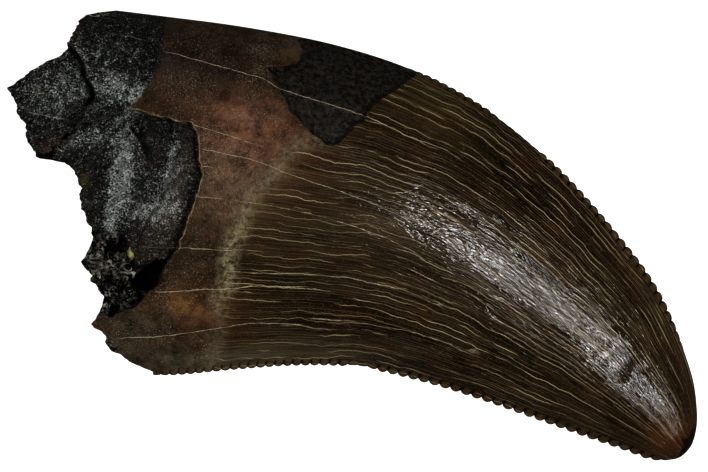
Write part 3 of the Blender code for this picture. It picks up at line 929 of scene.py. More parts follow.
    def crack_map(self, x: Array, y: Array) -> tuple[Array, ...]:
        """A number that passes through a whole one on each long crack, how open that crack is, and their gap.

        Args:
            x: The points' x.
            y: Their y.

        Returns:
            The three values of each point, the last in millimetres for a step of one.
        """
        courses = np.array([np.interp(x, *np.array(crack.course).T) for crack in self.cracks])
        end = self.crack_end
        opened = np.array([
            np.max([ramp((x - a) / end) * ramp((b - x) / end) for a, b in crack.open], axis=0)
            for crack in self.cracks
        ])
        last = len(self.cracks) - 2
        above = np.clip((courses > y).sum(axis=0) - 1, 0, last)
        picked = np.arange(len(x))
        top, bottom = courses[above, picked], courses[above + 1, picked]
        gap = np.maximum(top - bottom, self.least_gap)
        least = np.where(above == 0, -self.past_outermost, 0.0)
        most = np.where(above == last, 1 + self.past_outermost, 1.0)
        part = np.clip((top - y) / gap, least, most)
        nearness = np.clip(part, 0, 1)
        open_here = opened[above, picked] * (1 - nearness) + opened[above + 1, picked] * nearness
        return above + part, open_here, gap


@dataclass(frozen=True)
class Pattern:
    """A noise in the stone: how many of its patches lie in a millimetre, its detail, harshness and twist."""

    per_mm: float
    detail: float
    harshness: float = 0.5
    twist: float = 0.0

    def at(self, where: Socket) -> dict[str, Socket | float]:
        """What its noise node is given.

        Args:
            where: The point at which it is read.

        Returns:
            A value or a socket for each input, by name.
        """
        return {
            "Vector": where,
            "Scale": self.per_mm,
            "Detail": self.detail,
            "Roughness": self.harshness,
            "Distortion": self.twist,
        }


@dataclass(frozen=True)
class Layer:
    """One kind of surface in a material: its colour, its roughness and its height in millimetres."""

    colour: Socket
    roughness: Socket | float
    height: Socket


class Shading:
    """The nodes of one material."""

    # The fine noise that frays the borders of zones, in grains of 0.11 mm, as a chipped edge has.
    fraying = Pattern(9.0, 2.0)

    def __init__(self, name: str) -> None:
        """Start a material with a Principled shader.

        Args:
            name: What the material is called.
        """
        self.material = bpy.data.materials.new(name)
        self.material.use_nodes = True
        self.tree = self.material.node_tree
        self.shader = self.tree.nodes["Principled BSDF"]
        where = self.add("TexCoord", out="Object")
        self.place = self.add("VectorMath", [where, 1 / MM], operation="SCALE")
        self.jag = self.add("TexNoise", self.fraying.at(self.place))

    def add(self, kind: str, inputs: dict | Sequence = (), out: int | str = 0, **settings) -> Socket:
        """Add one node.

        Args:
            kind: The node's type, without its first word.
            inputs: A value or a socket for each input, in the order shown or by name.
            out: Which output is wanted, in the order shown or by name.
            **settings: The node's own settings.

        Returns:
            The output that is wanted.
        """
        node = self.tree.nodes.new("ShaderNode" + kind)
        for name, value in settings.items():
            setattr(node, name, value)
        shown = [socket for socket in node.inputs if socket.enabled]
        pairs = inputs.items() if isinstance(inputs, dict) else enumerate(inputs)
        for key, value in pairs:
            target = shown[key] if isinstance(key, int) else next(s for s in shown if s.name == key)
            if isinstance(value, bpy.types.NodeSocket):
                self.tree.links.new(value, target)
            else:
                target.default_value = value
        if isinstance(out, str):
            return next(s for s in node.outputs if s.name == out)
        return [socket for socket in node.outputs if socket.enabled][out]

    def inside(self, distance: Socket, soft: float, jag: float) -> Socket:
        """1 inside a zone and 0 outside it.

        Args:
            distance: How far inside each point lies, in millimetres.
            soft: Half the width of the border.
            jag: How far fine noise shifts the border.

        Returns:
            The mask.
        """
        shifted = self.add("Math", [self.jag, 2 * jag, distance], operation="MULTIPLY_ADD")
        border = [shifted, jag - soft, jag + soft]
        return self.add("MapRange", border, interpolation_type="SMOOTHSTEP")

    def sway(self, value: Socket, noise: Socket, amount: float) -> Socket:
        """A value pushed up and down by a noise.

        Args:
            value: The value.
            noise: The noise, whose middle pushes nothing.
            amount: How far the whole range of the noise pushes.

        Returns:
            The value after the push.
        """
        centred = self.add("Math", [noise, -0.5], operation="ADD")
        return self.add("Math", [centred, amount, value], operation="MULTIPLY_ADD")

    def away(self, value: Socket, middle: float) -> Socket:
        """How far a value lies from a middle one, either way."""
        return self.add("Math", [self.add("Math", [value, -middle], operation="ADD")], operation="ABSOLUTE")

    def lay(self, under: Layer, over: Layer, mask: Socket) -> Layer:
        """One layer over another.

        Args:
            under: The lower layer.
            over: The upper one.
            mask: 1 where the upper one shows.

        Returns:
            Both as one layer.
        """
        return Layer(
            self.add("Mix", [mask, under.colour, over.colour], data_type="RGBA"),
            self.add("Mix", [mask, under.roughness, over.roughness]),
            self.add("Mix", [mask, under.height, over.height]),
        )

    def finish(self, layer: Layer) -> bpy.types.Material:
        """Give the last layer to the shader.

        Args:
            layer: The whole surface.

        Returns:
            The finished material.
        """
        bump = self.add("Bump", {"Distance": MM, "Height": layer.height})
        self.tree.links.new(layer.colour, self.shader.inputs["Base Color"])
        self.tree.links.new(bump, self.shader.inputs["Normal"])
        if isinstance(layer.roughness, float):
            self.shader.inputs["Roughness"].default_value = layer.roughness
        else:
            self.tree.links.new(layer.roughness, self.shader.inputs["Roughness"])
        self.shader.inputs["IOR"].default_value = MINERAL_IOR
        return self.material


@dataclass(frozen=True)
class Dapple:
    """Another colour in patches: the colour, its pattern and how the noise becomes a share of it."""

    colour: str
    pattern: Pattern
    shows: Span

    def over(self, g: Shading, colour: Socket) -> Socket:
        """The patches laid over a colour.

        Args:
            g: The material.
            colour: The colour between the patches.

        Returns:
            Both as one colour.
        """
        patches = g.add("MapRange", [g.add("TexNoise", self.pattern.at(g.place)), *self.shows])
        return g.add("Mix", [patches, colour, linear(self.colour)], data_type="RGBA")


@dataclass(frozen=True)
class CrackFamily:
    """Fine cracks that run along the blade, each wandering by itself.

    Spacing and width are in millimetres, and presence is the level of a noise from which a crack shows.
    """

    spacing: float
    width: float
    presence: float
    seed: float
    colour: str
    strength: float


@dataclass(frozen=True)
class Facets:
    """Low waves folded into facets: their pattern, the level they fold at and their steepness."""

    pattern: Pattern
    fold: float
    steepness: float


@dataclass(frozen=True)
class Enamel:
    """Fossil enamel, hard, thin and split: the eye gets a dark skin with one faceted shine on its crest."""

    # Real cracks are under 0.01 mm wide. They are drawn twice as wide, because a pixel is 0.04 mm.
    bold: CrackFamily = CrackFamily(0.30, 0.020, 0.455, 11.0, "beae8a", 0.95)
    fine: CrackFamily = CrackFamily(0.105, 0.016, 0.43, 57.0, "6f6248", 0.80)
    crack_core: float = 0.3
    crack_depth: float = 0.003
    # Cracks drift together by this many of their gaps.
    drift: Pattern = Pattern(0.45, 2.0)
    drift_across: float = 0.5
    drift_gaps: float = 2.2
    # Each strays from its line and kinks as it runs, by these shares of a gap.
    stray: float = 0.42
    kink: Pattern = Pattern(1.2, 5.0, 0.68)
    kink_share: float = 0.8
    # Each shows in stretches, and the luckiest are the boldest.
    shown: Pattern = Pattern(0.30, 3.0, 0.7)
    shown_rise: float = 0.10
    shown_plane: float = 7.0
    faintest: float = 0.35
    # Every crack reads its noises at places of its own, which lie this far apart.
    sides_apart: float = 3.7
    kinks_apart: float = 3.1
    stretches_apart: float = 5.3
    turns_apart: float = 0.37
    # Where the blade is narrower than this, in millimetres, cracks run out one by one, and the rest fade.
    thinning: float = 8.0
    run_out: Span = (0.0, 0.06)
    fading: Span = (1.5, 8.0, 0.35, 1.0)
    # Striae 0.1 mm apart and bands 0.6 mm apart, drawn out along the blade.
    striae: Pattern = Pattern(1.0, 3.0, 0.7)
    striae_stretch: Triple = (9.0, 0.30, 1.0)
    striae_shades: Span = (0.30, 0.70, 0.45, 1.50)
    striae_heights: Span = (0.0, 1.0, -0.003, 0.003)
    bands: Pattern = Pattern(1.0, 2.0)
    bands_stretch: Triple = (1.7, 0.10, 1.0)
    bands_shades: Span = (0.3, 0.7, 0.70, 1.30)
    ruddy: Dapple = Dapple("3c2012", Pattern(0.8, 3.0), (0.5, 0.75, 0.0, 0.5))
    # Dust grains of 0.02 mm, drawn as specks of 0.09 mm.
    dust: Dapple = Dapple("6e624b", Pattern(11.0, 2.0, 0.7), (0.56, 0.74, 0.0, 0.40))
    grain: Pattern = Pattern(5.5, 2.0, 0.6)
    grain_stretch: Triple = (2.3, 0.66, 1.0)
    grain_height: float = 0.002
    # Facets 0.5 and 0.2 mm wide, as in life, and three and a half times as long.
    facets: Sequence[Facets] = (
        Facets(Pattern(0.9, 2.0, twist=0.9), 0.065, 0.066),
        Facets(Pattern(2.1, 2.0, twist=1.0), 0.12, 0.010),
    )
    roughness: Span = (0.35, 0.65, 0.05, 0.10)

    def cracks(
        self, g: Shading, family: CrackFamily, blade: Sequence[Socket], span: Socket
    ) -> tuple[Socket, Socket]:
        """The lines of one family.

        Args:
            g: The material.
            family: The family's spacing, width and share of lines that show.
            blade: Across the blade, along it and which side, as sockets.
            span: How wide the blade is here, in millimetres.

        Returns:
            How much of a line is here, and a random number for each line.
        """
        across, along, side = blade
        drift_across = g.add("Math", [across, self.drift_across], operation="MULTIPLY")
        drift = g.add("TexNoise", self.drift.at(g.add("CombineXYZ", [drift_across, along, side])))
        count = g.add("Math", [across, 1 / family.spacing, family.seed], operation="MULTIPLY_ADD")
        count = g.add("Math", [drift, self.drift_gaps, count], operation="MULTIPLY_ADD")
        line = g.add("Math", [count], operation="ROUND")
        name = g.add("Math", [side, self.sides_apart, line], operation="MULTIPLY_ADD")
        luck = g.add("TexWhiteNoise", {"W": name}, noise_dimensions="1D")
        kink_place = g.add("Math", [name, self.kinks_apart], operation="MULTIPLY")
        kink = g.add("TexNoise", self.kink.at(g.add("CombineXYZ", [kink_place, along, 0.0])))
        offset = g.add("Math", [count, line], operation="SUBTRACT")
        offset = g.sway(offset, luck, self.stray)
        offset = g.sway(offset, kink, self.kink_share)
        gap = g.add("Math", [span, family.spacing / BLADE_WIDTH], operation="MULTIPLY")
        gap = g.add("Math", [g.add("Math", [offset], operation="ABSOLUTE"), gap], operation="MULTIPLY")
        edges = [gap, family.width, self.crack_core * family.width]
        drawn = g.add("MapRange", edges, interpolation_type="SMOOTHSTEP")
        shown_place = g.add("Math", [name, self.stretches_apart], operation="MULTIPLY")
        shown_at = g.add("CombineXYZ", [shown_place, along, self.shown_plane])
        shown = g.add("TexNoise", self.shown.at(shown_at))
        shown = g.add("MapRange", [shown, family.presence, family.presence + self.shown_rise])
        turn_place = g.add("Math", [name, self.turns_apart], operation="ADD")
        turn = g.add("TexWhiteNoise", {"W": turn_place}, noise_dimensions="1D")
        room = g.add("Math", [span, 1 / self.thinning], operation="MULTIPLY")
        room = g.add("Math", [room, turn], operation="SUBTRACT")
        kept = g.add("MapRange", [room, *self.run_out])
        drawn = g.add("Math", [drawn, kept], operation="MULTIPLY")
        return g.add("Math", [drawn, shown], operation="MULTIPLY"), luck

    def layer(self, g: Shading, tone: Socket, blade: Sequence[Socket], span: Socket) -> Layer:
        """The enamel.

        Args:
            g: The material.
            tone: Its colour with the stains.
            blade: Across the blade, along it and which side.
            span: How wide the blade is here, in millimetres.

        Returns:
            Its colour, roughness and relief.
        """
        vector = g.add("CombineXYZ", list(blade))
        striae_at = g.add("VectorMath", [vector, self.striae_stretch], operation="MULTIPLY")
        striae = g.add("TexNoise", self.striae.at(striae_at))
        bands_at = g.add("VectorMath", [vector, self.bands_stretch], operation="MULTIPLY")
        bands = g.add("MapRange", [g.add("TexNoise", self.bands.at(bands_at)), *self.bands_shades])
        shade = g.add("MapRange", [striae, *self.striae_shades])
        shade = g.add("Math", [shade, bands], operation="MULTIPLY")
        colour = g.add("VectorMath", [tone, shade], operation="SCALE")
        for dapple in (self.ruddy, self.dust):
            colour = dapple.over(g, colour)

        height = g.add("MapRange", [striae, *self.striae_heights])
        for family in (self.fine, self.bold):
            drawn, luck = self.cracks(g, family, blade, span)
            faintest = self.faintest * family.strength
            strength = g.add("MapRange", [luck, 0.0, 1.0, faintest, family.strength])
            drawn = g.add("Math", [drawn, g.add("MapRange", [span, *self.fading])], operation="MULTIPLY")
            amount = g.add("Math", [drawn, strength], operation="MULTIPLY")
            colour = g.add("Mix", [amount, colour, linear(family.colour)], data_type="RGBA")
            height = g.add("Math", [drawn, -self.crack_depth, height], operation="MULTIPLY_ADD")

        grain_at = g.add("VectorMath", [vector, self.grain_stretch], operation="MULTIPLY")
        grain = g.add("TexNoise", self.grain.at(grain_at))
        height = g.sway(height, grain, self.grain_height)
        for facets in self.facets:
            waves = g.add("TexNoise", facets.pattern.at(grain_at))
            waves = g.add("Math", [waves, facets.fold], operation="PINGPONG")
            height = g.add("Math", [waves, facets.steepness, height], operation="MULTIPLY_ADD")
        return Layer(colour, g.add("MapRange", [grain, *self.roughness]), height)


@dataclass(frozen=True)
class Dentine:
    """Bare root dentine, softer than enamel: the eye gets a mottled, rusty brown with a broad, low sheen."""

    mottle: Pattern = Pattern(1.5, 7.0, 0.78)
    mottle_shades: Span = (0.34, 0.66, 0.25, 1.80)
    rust: Dapple = Dapple("3e2114", Pattern(1.1, 5.0, 0.65), (0.52, 0.66, 0.0, 0.55))
    # Dust sits in pores of 0.01 mm, which are drawn as specks of 0.05 mm, in clouds of 1.4 mm.
    dust: str = "b8a488"
    dust_clouds: Pattern = Pattern(0.7, 2.0)
    dust_lift: Span = (0.3, 0.7, -0.08, 0.03)
    dust_specks: Pattern = Pattern(19.0, 2.0, 0.75)
    dust_shows: Span = (0.54, 0.74, 0.0, 0.70)
    relief: Pattern = Pattern(7.0, 3.0, 0.6)
    relief_heights: Span = (0.0, 1.0, -0.010, 0.010)
    roughness: Span = (0.3, 0.7, 0.28, 0.42)

    def layer(self, g: Shading, tone: Socket) -> Layer:
        """The dentine.

        Args:
            g: The material.
            tone: Its colour with the stains.

        Returns:
            Its colour, roughness and relief.
        """
        mottle = g.add("TexNoise", self.mottle.at(g.place))
        shade = g.add("MapRange", [mottle, *self.mottle_shades])
        colour = self.rust.over(g, g.add("VectorMath", [tone, shade], operation="SCALE"))
        lift = g.add("MapRange", [g.add("TexNoise", self.dust_clouds.at(g.place)), *self.dust_lift])
        specks = g.add("TexNoise", self.dust_specks.at(g.place))
        specks = g.add("Math", [lift, specks], operation="ADD")
        specks = g.add("MapRange", [specks, *self.dust_shows])
        colour = g.add("Mix", [specks, colour, linear(self.dust)], data_type="RGBA")
        height = g.add("MapRange", [g.add("TexNoise", self.relief.at(g.place)), *self.relief_heights])
        return Layer(colour, g.add("MapRange", [mottle, *self.roughness]), height)


@dataclass(frozen=True)
class Charcoal:
    """Root stained black by manganese, porous like charcoal: a sugary black that glitters through its bumps
    and pale specks painted as glints.
    """

    light: str = "2e2f2a"
    grain: Pattern = Pattern(6.0, 4.0, 0.75)
    grain_shows: Span = (0.42, 0.72)
    grain_height: float = 0.06
    broad: Pattern = Pattern(1.4, 4.0, 0.65)
    # Crystals of 0.02 to 0.1 mm, drawn as pale specks of 0.07 mm that are painted glints, which crowd on
    # folds of 0.3 mm.
    crystal: str = "c8cdc6"
    glint_speck_height: float = 0.012
    glint_specks: Pattern = Pattern(15.0, 2.0, 0.75)
    lace: Pattern = Pattern(3.2, 4.0, 0.65)
    lace_swing: float = 2.2
    glint_bar: Span = (0.0, 1.0, 0.60, 0.37)
    glint_specks_show: Span = (0.0, 0.18)
    crest: Pattern = Pattern(3.6, 4.0, 0.6, 0.9)
    crest_shows: Span = (0.085, 0.012, 0.32, 1.0)
    crest_height: float = 0.05
    roughness: Span = (0.35, 0.7, 0.09, 0.22)

    def layer(self, g: Shading, glint: Socket) -> Layer:
        """The charcoal.

        Args:
            g: The material.
            glint: How many crystals there are here, from 0 to 1.

        Returns:
            Its colour, roughness and relief.
        """
        base = g.add("Attribute", out="Color", attribute_name="char")
        grain = g.add("TexNoise", self.grain.at(g.place))
        shade = g.add("MapRange", [grain, *self.grain_shows])
        broad = g.add("TexNoise", self.broad.at(g.place))
        shade = g.add("Math", [shade, broad], operation="MULTIPLY")
        colour = g.add("Mix", [shade, base, linear(self.light)], data_type="RGBA")
        # Pale specks painted as glints, where the glint patches and the folds' crests are.
        glint_specks = g.add("TexNoise", self.glint_specks.at(g.place))
        level = g.sway(glint, g.add("TexNoise", self.lace.at(g.place)), self.lace_swing)
        bar = g.add("MapRange", [level, *self.glint_bar])
        over = g.add("Math", [glint_specks, bar], operation="SUBTRACT")
        crystal = g.add("MapRange", [over, *self.glint_specks_show])
        crest = g.away(g.add("TexNoise", self.crest.at(g.place)), 0.5)
        crest = g.add("MapRange", [crest, *self.crest_shows])
        crystal = g.add("Math", [crystal, crest], operation="MULTIPLY")
        colour = g.add("Mix", [crystal, colour, linear(self.crystal)], data_type="RGBA")
        height = g.add("Math", [grain, -0.5], operation="ADD")
        height = g.add("Math", [height, self.grain_height], operation="MULTIPLY")
        height = g.add("Math", [crystal, self.glint_speck_height, height], operation="MULTIPLY_ADD")
        height = g.add("Math", [crest, self.crest_height, height], operation="MULTIPLY_ADD")
        return Layer(colour, g.add("MapRange", [grain, *self.roughness]), height)


@dataclass(frozen=True)
class ChipScar:
    """The floor of the spalled chip, black inner dentine: the eye gets a close-grained, waxy patch."""

    dark: str = "17140f"
    light: str = "4a453b"
    grain: Pattern = Pattern(5.0, 6.0, 0.78)
    grain_shows: Span = (0.46, 0.72)
    heights: Span = (0.0, 1.0, -0.035, 0.035)
    roughness: Span = (0.3, 0.7, 0.20, 0.36)

    def layer(self, g: Shading) -> Layer:
        """The scar.

        Args:
            g: The material.

        Returns:
            Its colour, roughness and relief.
        """
        grain = g.add("TexNoise", self.grain.at(g.place))
        shade = g.add("MapRange", [grain, *self.grain_shows])
        colour = g.add("Mix", [shade, linear(self.dark), linear(self.light)], data_type="RGBA")
        height = g.add("MapRange", [grain, *self.heights])
        return Layer(colour, g.add("MapRange", [grain, *self.roughness]), height)


@dataclass(frozen=True)
class BlackMatrix:
    """Cemented black sediment in the root's hollow: glassy crumbs, with painted highlights on folds and
    specks.
    """

    dark: str = "14120f"
    light: str = "77736a"
    # Silt grains of 0.05 mm, drawn as 0.14 mm, whose pale specks are painted glints, in crumbs of 0.45 mm.
    grain: Pattern = Pattern(7.0, 3.0, 0.7)
    grain_shows: Span = (0.66, 0.80)
    grain_heights: Span = (0.0, 1.0, -0.012, 0.012)
    crumb: Pattern = Pattern(2.2, 2.0, twist=1.4)
    crumb_height: float = 0.25
    # Painted highlights along the crumbs' folds, in patches.
    worn: str = "aaa698"
    fold_highlight_shows: Span = (0.080, 0.010, 0.0, 0.75)
    patches: Pattern = Pattern(1.1, 3.0, 0.6)
    patches_show: Span = (0.42, 0.58)
    roughness: Span = (0.35, 0.7, 0.07, 0.20)

    def layer(self, g: Shading) -> Layer:
        """The sediment.

        Args:
            g: The material.

        Returns:
            Its colour, roughness and relief.
        """
        grain = g.add("TexNoise", self.grain.at(g.place))
        shade = g.add("MapRange", [grain, *self.grain_shows])
        colour = g.add("Mix", [shade, linear(self.dark), linear(self.light)], data_type="RGBA")
        fold = g.away(g.add("TexNoise", self.crumb.at(g.place)), 0.5)
        # Painted highlights along the folds.
        worn = g.add("MapRange", [fold, *self.fold_highlight_shows])
        patches = g.add("MapRange", [g.add("TexNoise", self.patches.at(g.place)), *self.patches_show])
        worn = g.add("Math", [worn, patches], operation="MULTIPLY")
        colour = g.add("Mix", [worn, colour, linear(self.worn)], data_type="RGBA")
        height = g.add("MapRange", [grain, *self.grain_heights])
        height = g.add("Math", [fold, self.crumb_height, height], operation="MULTIPLY_ADD")
        return Layer(colour, g.add("MapRange", [grain, *self.roughness]), height)


@dataclass(frozen=True)
class Serration:
    """The cutting edges: honey beads with painted light in their middles, parted by slits of painted shade.
    """

    # A bead is painted lighter toward its middle, as light through the thin edge, and the slits dark, as
    # shade.
    bead: str = "5f4c32"
    skin: str = "2b2116"
    slit: str = "0d0906"
    # How far in from the edge the slits run, in millimetres, and up to which share of it they are whole.
    reach: float = 0.48
    whole: float = 0.55
    slit_shows: Span = (0.36, 0.06)
    slit_shade_strength: float = 0.8
    slit_depth: float = 0.03
    tint_shows: Span = (0.45, 0.10, 0.0, 0.75)
    bead_shows: Span = (0.3, 1.0)

    def over(self, g: Shading, layer: Layer, edge: Sequence[Socket]) -> Layer:
        """The beads, with their painted light, and the slits, with their painted shade, drawn on a layer.

        Args:
            g: The material.
            layer: What the cutting edge is made of.
            edge: The distance to the nearer edge, the count of teeth along it and how full they are.

        Returns:
            The layer with its serration.
        """
        gap, count, full = edge
        wave = g.add("Math", [g.add("Math", [count, math.pi], operation="MULTIPLY")], operation="SINE")
        wave = g.add("Math", [wave], operation="ABSOLUTE")
        reach = [gap, self.reach, self.whole * self.reach]
        near = g.add("MapRange", reach, interpolation_type="SMOOTHSTEP")
        near = g.add("Math", [near, full], operation="MULTIPLY")
        slit = g.add("MapRange", [wave, *self.slit_shows], interpolation_type="SMOOTHSTEP")
        slit = g.add("Math", [slit, near], operation="MULTIPLY")
        tint = g.add("MapRange", [gap, *self.tint_shows])
        tint = g.add("Math", [tint, full], operation="MULTIPLY")
        # Each bead is painted lighter toward its middle and darker toward the slits.
        bead = g.add("MapRange", [wave, *self.bead_shows])
        bead = g.add("Mix", [bead, linear(self.skin), linear(self.bead)], data_type="RGBA")
        colour = g.add("Mix", [tint, layer.colour, bead], data_type="RGBA")
        # The slits are painted dark, as shade.
        dark = g.add("Math", [slit, self.slit_shade_strength], operation="MULTIPLY")
        colour = g.add("Mix", [dark, colour, linear(self.slit)], data_type="RGBA")
        height = g.add("Math", [slit, -self.slit_depth, layer.height], operation="MULTIPLY_ADD")
        return Layer(colour, layer.roughness, height)


@dataclass(frozen=True)
class LongCracks:
    """Long cracks in the root, filled with golden clay: the eye gets a few pale hairlines."""

    clay: str = "b9ac90"
    # In millimetres, with the share of the half width that is wholly clay.
    half_width: float = 0.021
    core: float = 0.3
    depth: float = 0.012
    wobble: Pattern = Pattern(2.6, 4.0, 0.7)
    wobble_reach: float = 0.14
    uneven: Pattern = Pattern(1.7, 4.0, 0.7)
    uneven_shows: Span = (0.35, 0.60, 0.35, 1.0)

    def over(self, g: Shading, layer: Layer, crack_map: Socket, clear: Socket) -> Layer:
        """The long cracks drawn on a layer.

        Args:
            g: The material.
            layer: What they run through.
            crack_map: The number, openness and gap that Markings.crack_map gives.
            clear: How much of the clay shows, from 0 to 1.

        Returns:
            The layer with its cracks.
        """
        number, open_here, gap = (g.add("SeparateXYZ", [crack_map], out=axis) for axis in "XYZ")
        nearest = g.add("Math", [number], operation="ROUND")
        off = g.add("Math", [number, nearest], operation="SUBTRACT")
        off = g.add("Math", [off, gap], operation="MULTIPLY")
        off = g.sway(off, g.add("TexNoise", self.wobble.at(g.place)), self.wobble_reach)
        off = g.add("Math", [off], operation="ABSOLUTE")
        edges = [off, self.half_width, self.core * self.half_width]
        drawn = g.add("MapRange", edges, interpolation_type="SMOOTHSTEP")
        for share in (open_here, clear):
            drawn = g.add("Math", [drawn, share], operation="MULTIPLY")
        uneven = g.add("MapRange", [g.add("TexNoise", self.uneven.at(g.place)), *self.uneven_shows])
        amount = g.add("Math", [drawn, uneven], operation="MULTIPLY")
        colour = g.add("Mix", [amount, layer.colour, linear(self.clay)], data_type="RGBA")
        height = g.add("Math", [drawn, -self.depth, layer.height], operation="MULTIPLY_ADD")
        return Layer(colour, layer.roughness, height)


@dataclass(frozen=True)
class DustySeam:
    """Clay dust caught in pits past the enamel's end: the eye gets a pale, broken line between the browns."""

    colour: str = "9a9274"
    outward: float = 0.15
    shows: Span = (0.58, 0.05, 0.0, 0.90)
    pits: Pattern = Pattern(4.5, 6.0, 0.8)
    pits_show: Span = (0.41, 0.60)
    # It thins out toward both cutting edges.
    ends: Sequence[Span] = ((1.6, 0.0, 0.45, 1.0), (-3.4, -2.0, 0.25, 1.0))

    def over(self, g: Shading, layer: Layer, in_enamel: Socket) -> Layer:
        """The dust laid on a layer.

        Args:
            g: The material.
            layer: What it lies on.
            in_enamel: How far inside the enamel each point lies, in millimetres.

        Returns:
            The layer with its dust.
        """
        near = g.add("MapRange", [g.away(in_enamel, -self.outward), *self.shows])
        pits = g.add("MapRange", [g.add("TexNoise", self.pits.at(g.place)), *self.pits_show])
        near = g.add("Math", [near, pits], operation="MULTIPLY")
        down = g.add("SeparateXYZ", [g.place], out="Y")
        for end in self.ends:
            near = g.add("Math", [near, g.add("MapRange", [down, *end])], operation="MULTIPLY")
        colour = g.add("Mix", [near, layer.colour, linear(self.colour)], data_type="RGBA")
        return replace(layer, colour=colour)


@dataclass(frozen=True)
class EdgeHighlightAndGrooveShadow:
    """Edges of the flaked root layers: a thin line of painted highlight, and painted shadow in the deep
    grooves.
    """

    # The painted highlight along the flaked edges.
    colour: str = "a08868"
    outward: float = 0.065
    shows: Span = (0.030, 0.010, 0.0, 0.9)
    # It fades toward the break and toward the back, and is broken up in places.
    fades: Sequence[tuple[str, Span]] = (("X", (-9.2, -8.6, 0.2, 1.0)), ("Y", (-1.3, -0.5, 0.2, 1.0)))
    worn: Span = (0.35, 0.6, 0.3, 1.0)
    shadow: str = "050504"
    shadow_shows: Span = (0.11, 0.04, 0.0, 0.9)

    def over(self, g: Shading, layer: Layer, in_wall: Socket, groove: Socket) -> Layer:
        """The edges' painted highlight and the grooves' painted shadow drawn on a layer.

        Args:
            g: The material.
            layer: What they are drawn on.
            in_wall: How far inside the flaked area each point lies, in millimetres.
            groove: How far from a groove it lies.

        Returns:
            The layer with its rim.
        """
        line = g.add("MapRange", [g.away(in_wall, -self.outward), *self.shows])
        for axis, fade in self.fades:
            seen = g.add("MapRange", [g.add("SeparateXYZ", [g.place], out=axis), *fade])
            line = g.add("Math", [line, seen], operation="MULTIPLY")
        line = g.add("Math", [line, g.add("MapRange", [g.jag, *self.worn])], operation="MULTIPLY")
        colour = g.add("Mix", [line, layer.colour, linear(self.colour)], data_type="RGBA")
        shadow = g.add("MapRange", [groove, *self.shadow_shows])
        colour = g.add("Mix", [shadow, colour, linear(self.shadow)], data_type="RGBA")
        return replace(layer, colour=colour)


@dataclass(frozen=True)
class FossilFinish:
    """Everything that the tooth's surface is made of, from its enamel to its stained root.

    A border is half its width and how far it is frayed, in millimetres.
    """

    enamel: Enamel = Enamel()
    enamel_border: Pair = (0.18, 0.22)
    dentine: Dentine = Dentine()
    charcoal: Charcoal = Charcoal()
    charcoal_border: Pair = (0.05, 0.06)
    scar: ChipScar = ChipScar()
    scar_border: Pair = (0.025, 0.03)
    sediment: BlackMatrix = BlackMatrix()
    sediment_border: Pair = (0.10, 0.10)
    serration: Serration = Serration()
    seam: DustySeam = DustySeam()
    rim: EdgeHighlightAndGrooveShadow = EdgeHighlightAndGrooveShadow()
    long_cracks: LongCracks = LongCracks()
    clay_on_charcoal: Span = (0.0, 1.0, 1.0, 0.5)
    worn: str = "18130e"
    worn_border: Pair = (0.06, 0.08)

    def material(self) -> bpy.types.Material:
        """The zones laid one over the other.

        Returns:
            The tooth's material.
        """
        g = Shading("fossil_enamel")
        blade, zones, flakes, edge, grain = (
            [
                g.add("SeparateXYZ", [g.add("Attribute", out="Vector", attribute_name=name)], out=axis)
                for axis in "XYZ"
            ]
            for name in ("blade", "zones", "flakes", "edge", "grain")
        )
        tone = g.add("Attribute", out="Color", attribute_name="tone")
        crack_map = g.add("Attribute", out="Vector", attribute_name="cracks")
        in_enamel, in_charcoal, in_chip = zones
        in_wall, in_infill, in_worn = flakes
        glint, groove, span = grain

        layer = self.dentine.layer(g, tone)
        enamel = self.enamel.layer(g, tone, blade, span)
        layer = g.lay(layer, enamel, g.inside(in_enamel, *self.enamel_border))
        layer = self.seam.over(g, layer, in_enamel)
        layer = self.serration.over(g, layer, edge)
        charred = g.inside(in_charcoal, *self.charcoal_border)
        layer = g.lay(layer, self.charcoal.layer(g, glint), charred)
        layer = g.lay(layer, self.scar.layer(g), g.inside(in_chip, *self.scar_border))
        layer = g.lay(layer, self.sediment.layer(g), g.inside(in_infill, *self.sediment_border))
        # Painted highlight on the flaked edges, and painted shadow in the grooves.
        layer = self.rim.over(g, layer, in_wall, groove)
        clear = g.add("MapRange", [charred, *self.clay_on_charcoal])
        layer = self.long_cracks.over(g, layer, crack_map, clear)
        rubbed = g.inside(in_worn, *self.worn_border)
        worn = g.add("Mix", [rubbed, layer.colour, linear(self.worn)], data_type="RGBA")
        return g.finish(replace(layer, colour=worn))


@dataclass(frozen=True)
class SedimentFinish:
    """The crumbs' own finish."""

    sediment: BlackMatrix = BlackMatrix()

    def material(self) -> bpy.types.Material:
        """The crumbs' material."""
        g = Shading("black_matrix")
        return g.finish(self.sediment.layer(g))


@dataclass(frozen=True)
class CalciteFinish:
    """Honey-coloured calcite: the eye gets one warm, glassy grain in the black hollow."""

    colour: str = "8a8050"
    # Growth clouds of 0.2 mm, which is their real size in so small a grain.
    clouds: Pattern = Pattern(5.0, 3.0)
    shades: Span = (0.35, 0.65, 0.4, 1.6)
    heights: Span = (0.0, 1.0, 0.0, 0.02)
    roughness: float = 0.14

    def material(self) -> bpy.types.Material:
        """The grain's clouds and relief.

        Returns:
            Its material.
        """
        g = Shading("honey_calcite")
        clouds = g.add("TexNoise", self.clouds.at(g.place))
        shade = g.add("MapRange", [clouds, *self.shades])
        colour = g.add("VectorMath", [linear(self.colour)[:3], shade], operation="SCALE")
        return g.finish(Layer(colour, self.roughness, g.add("MapRange", [clouds, *self.heights])))


def deselect() -> None:
    """Leave nothing selected."""
    for thing in bpy.context.selected_objects:
        thing.select_set(False)


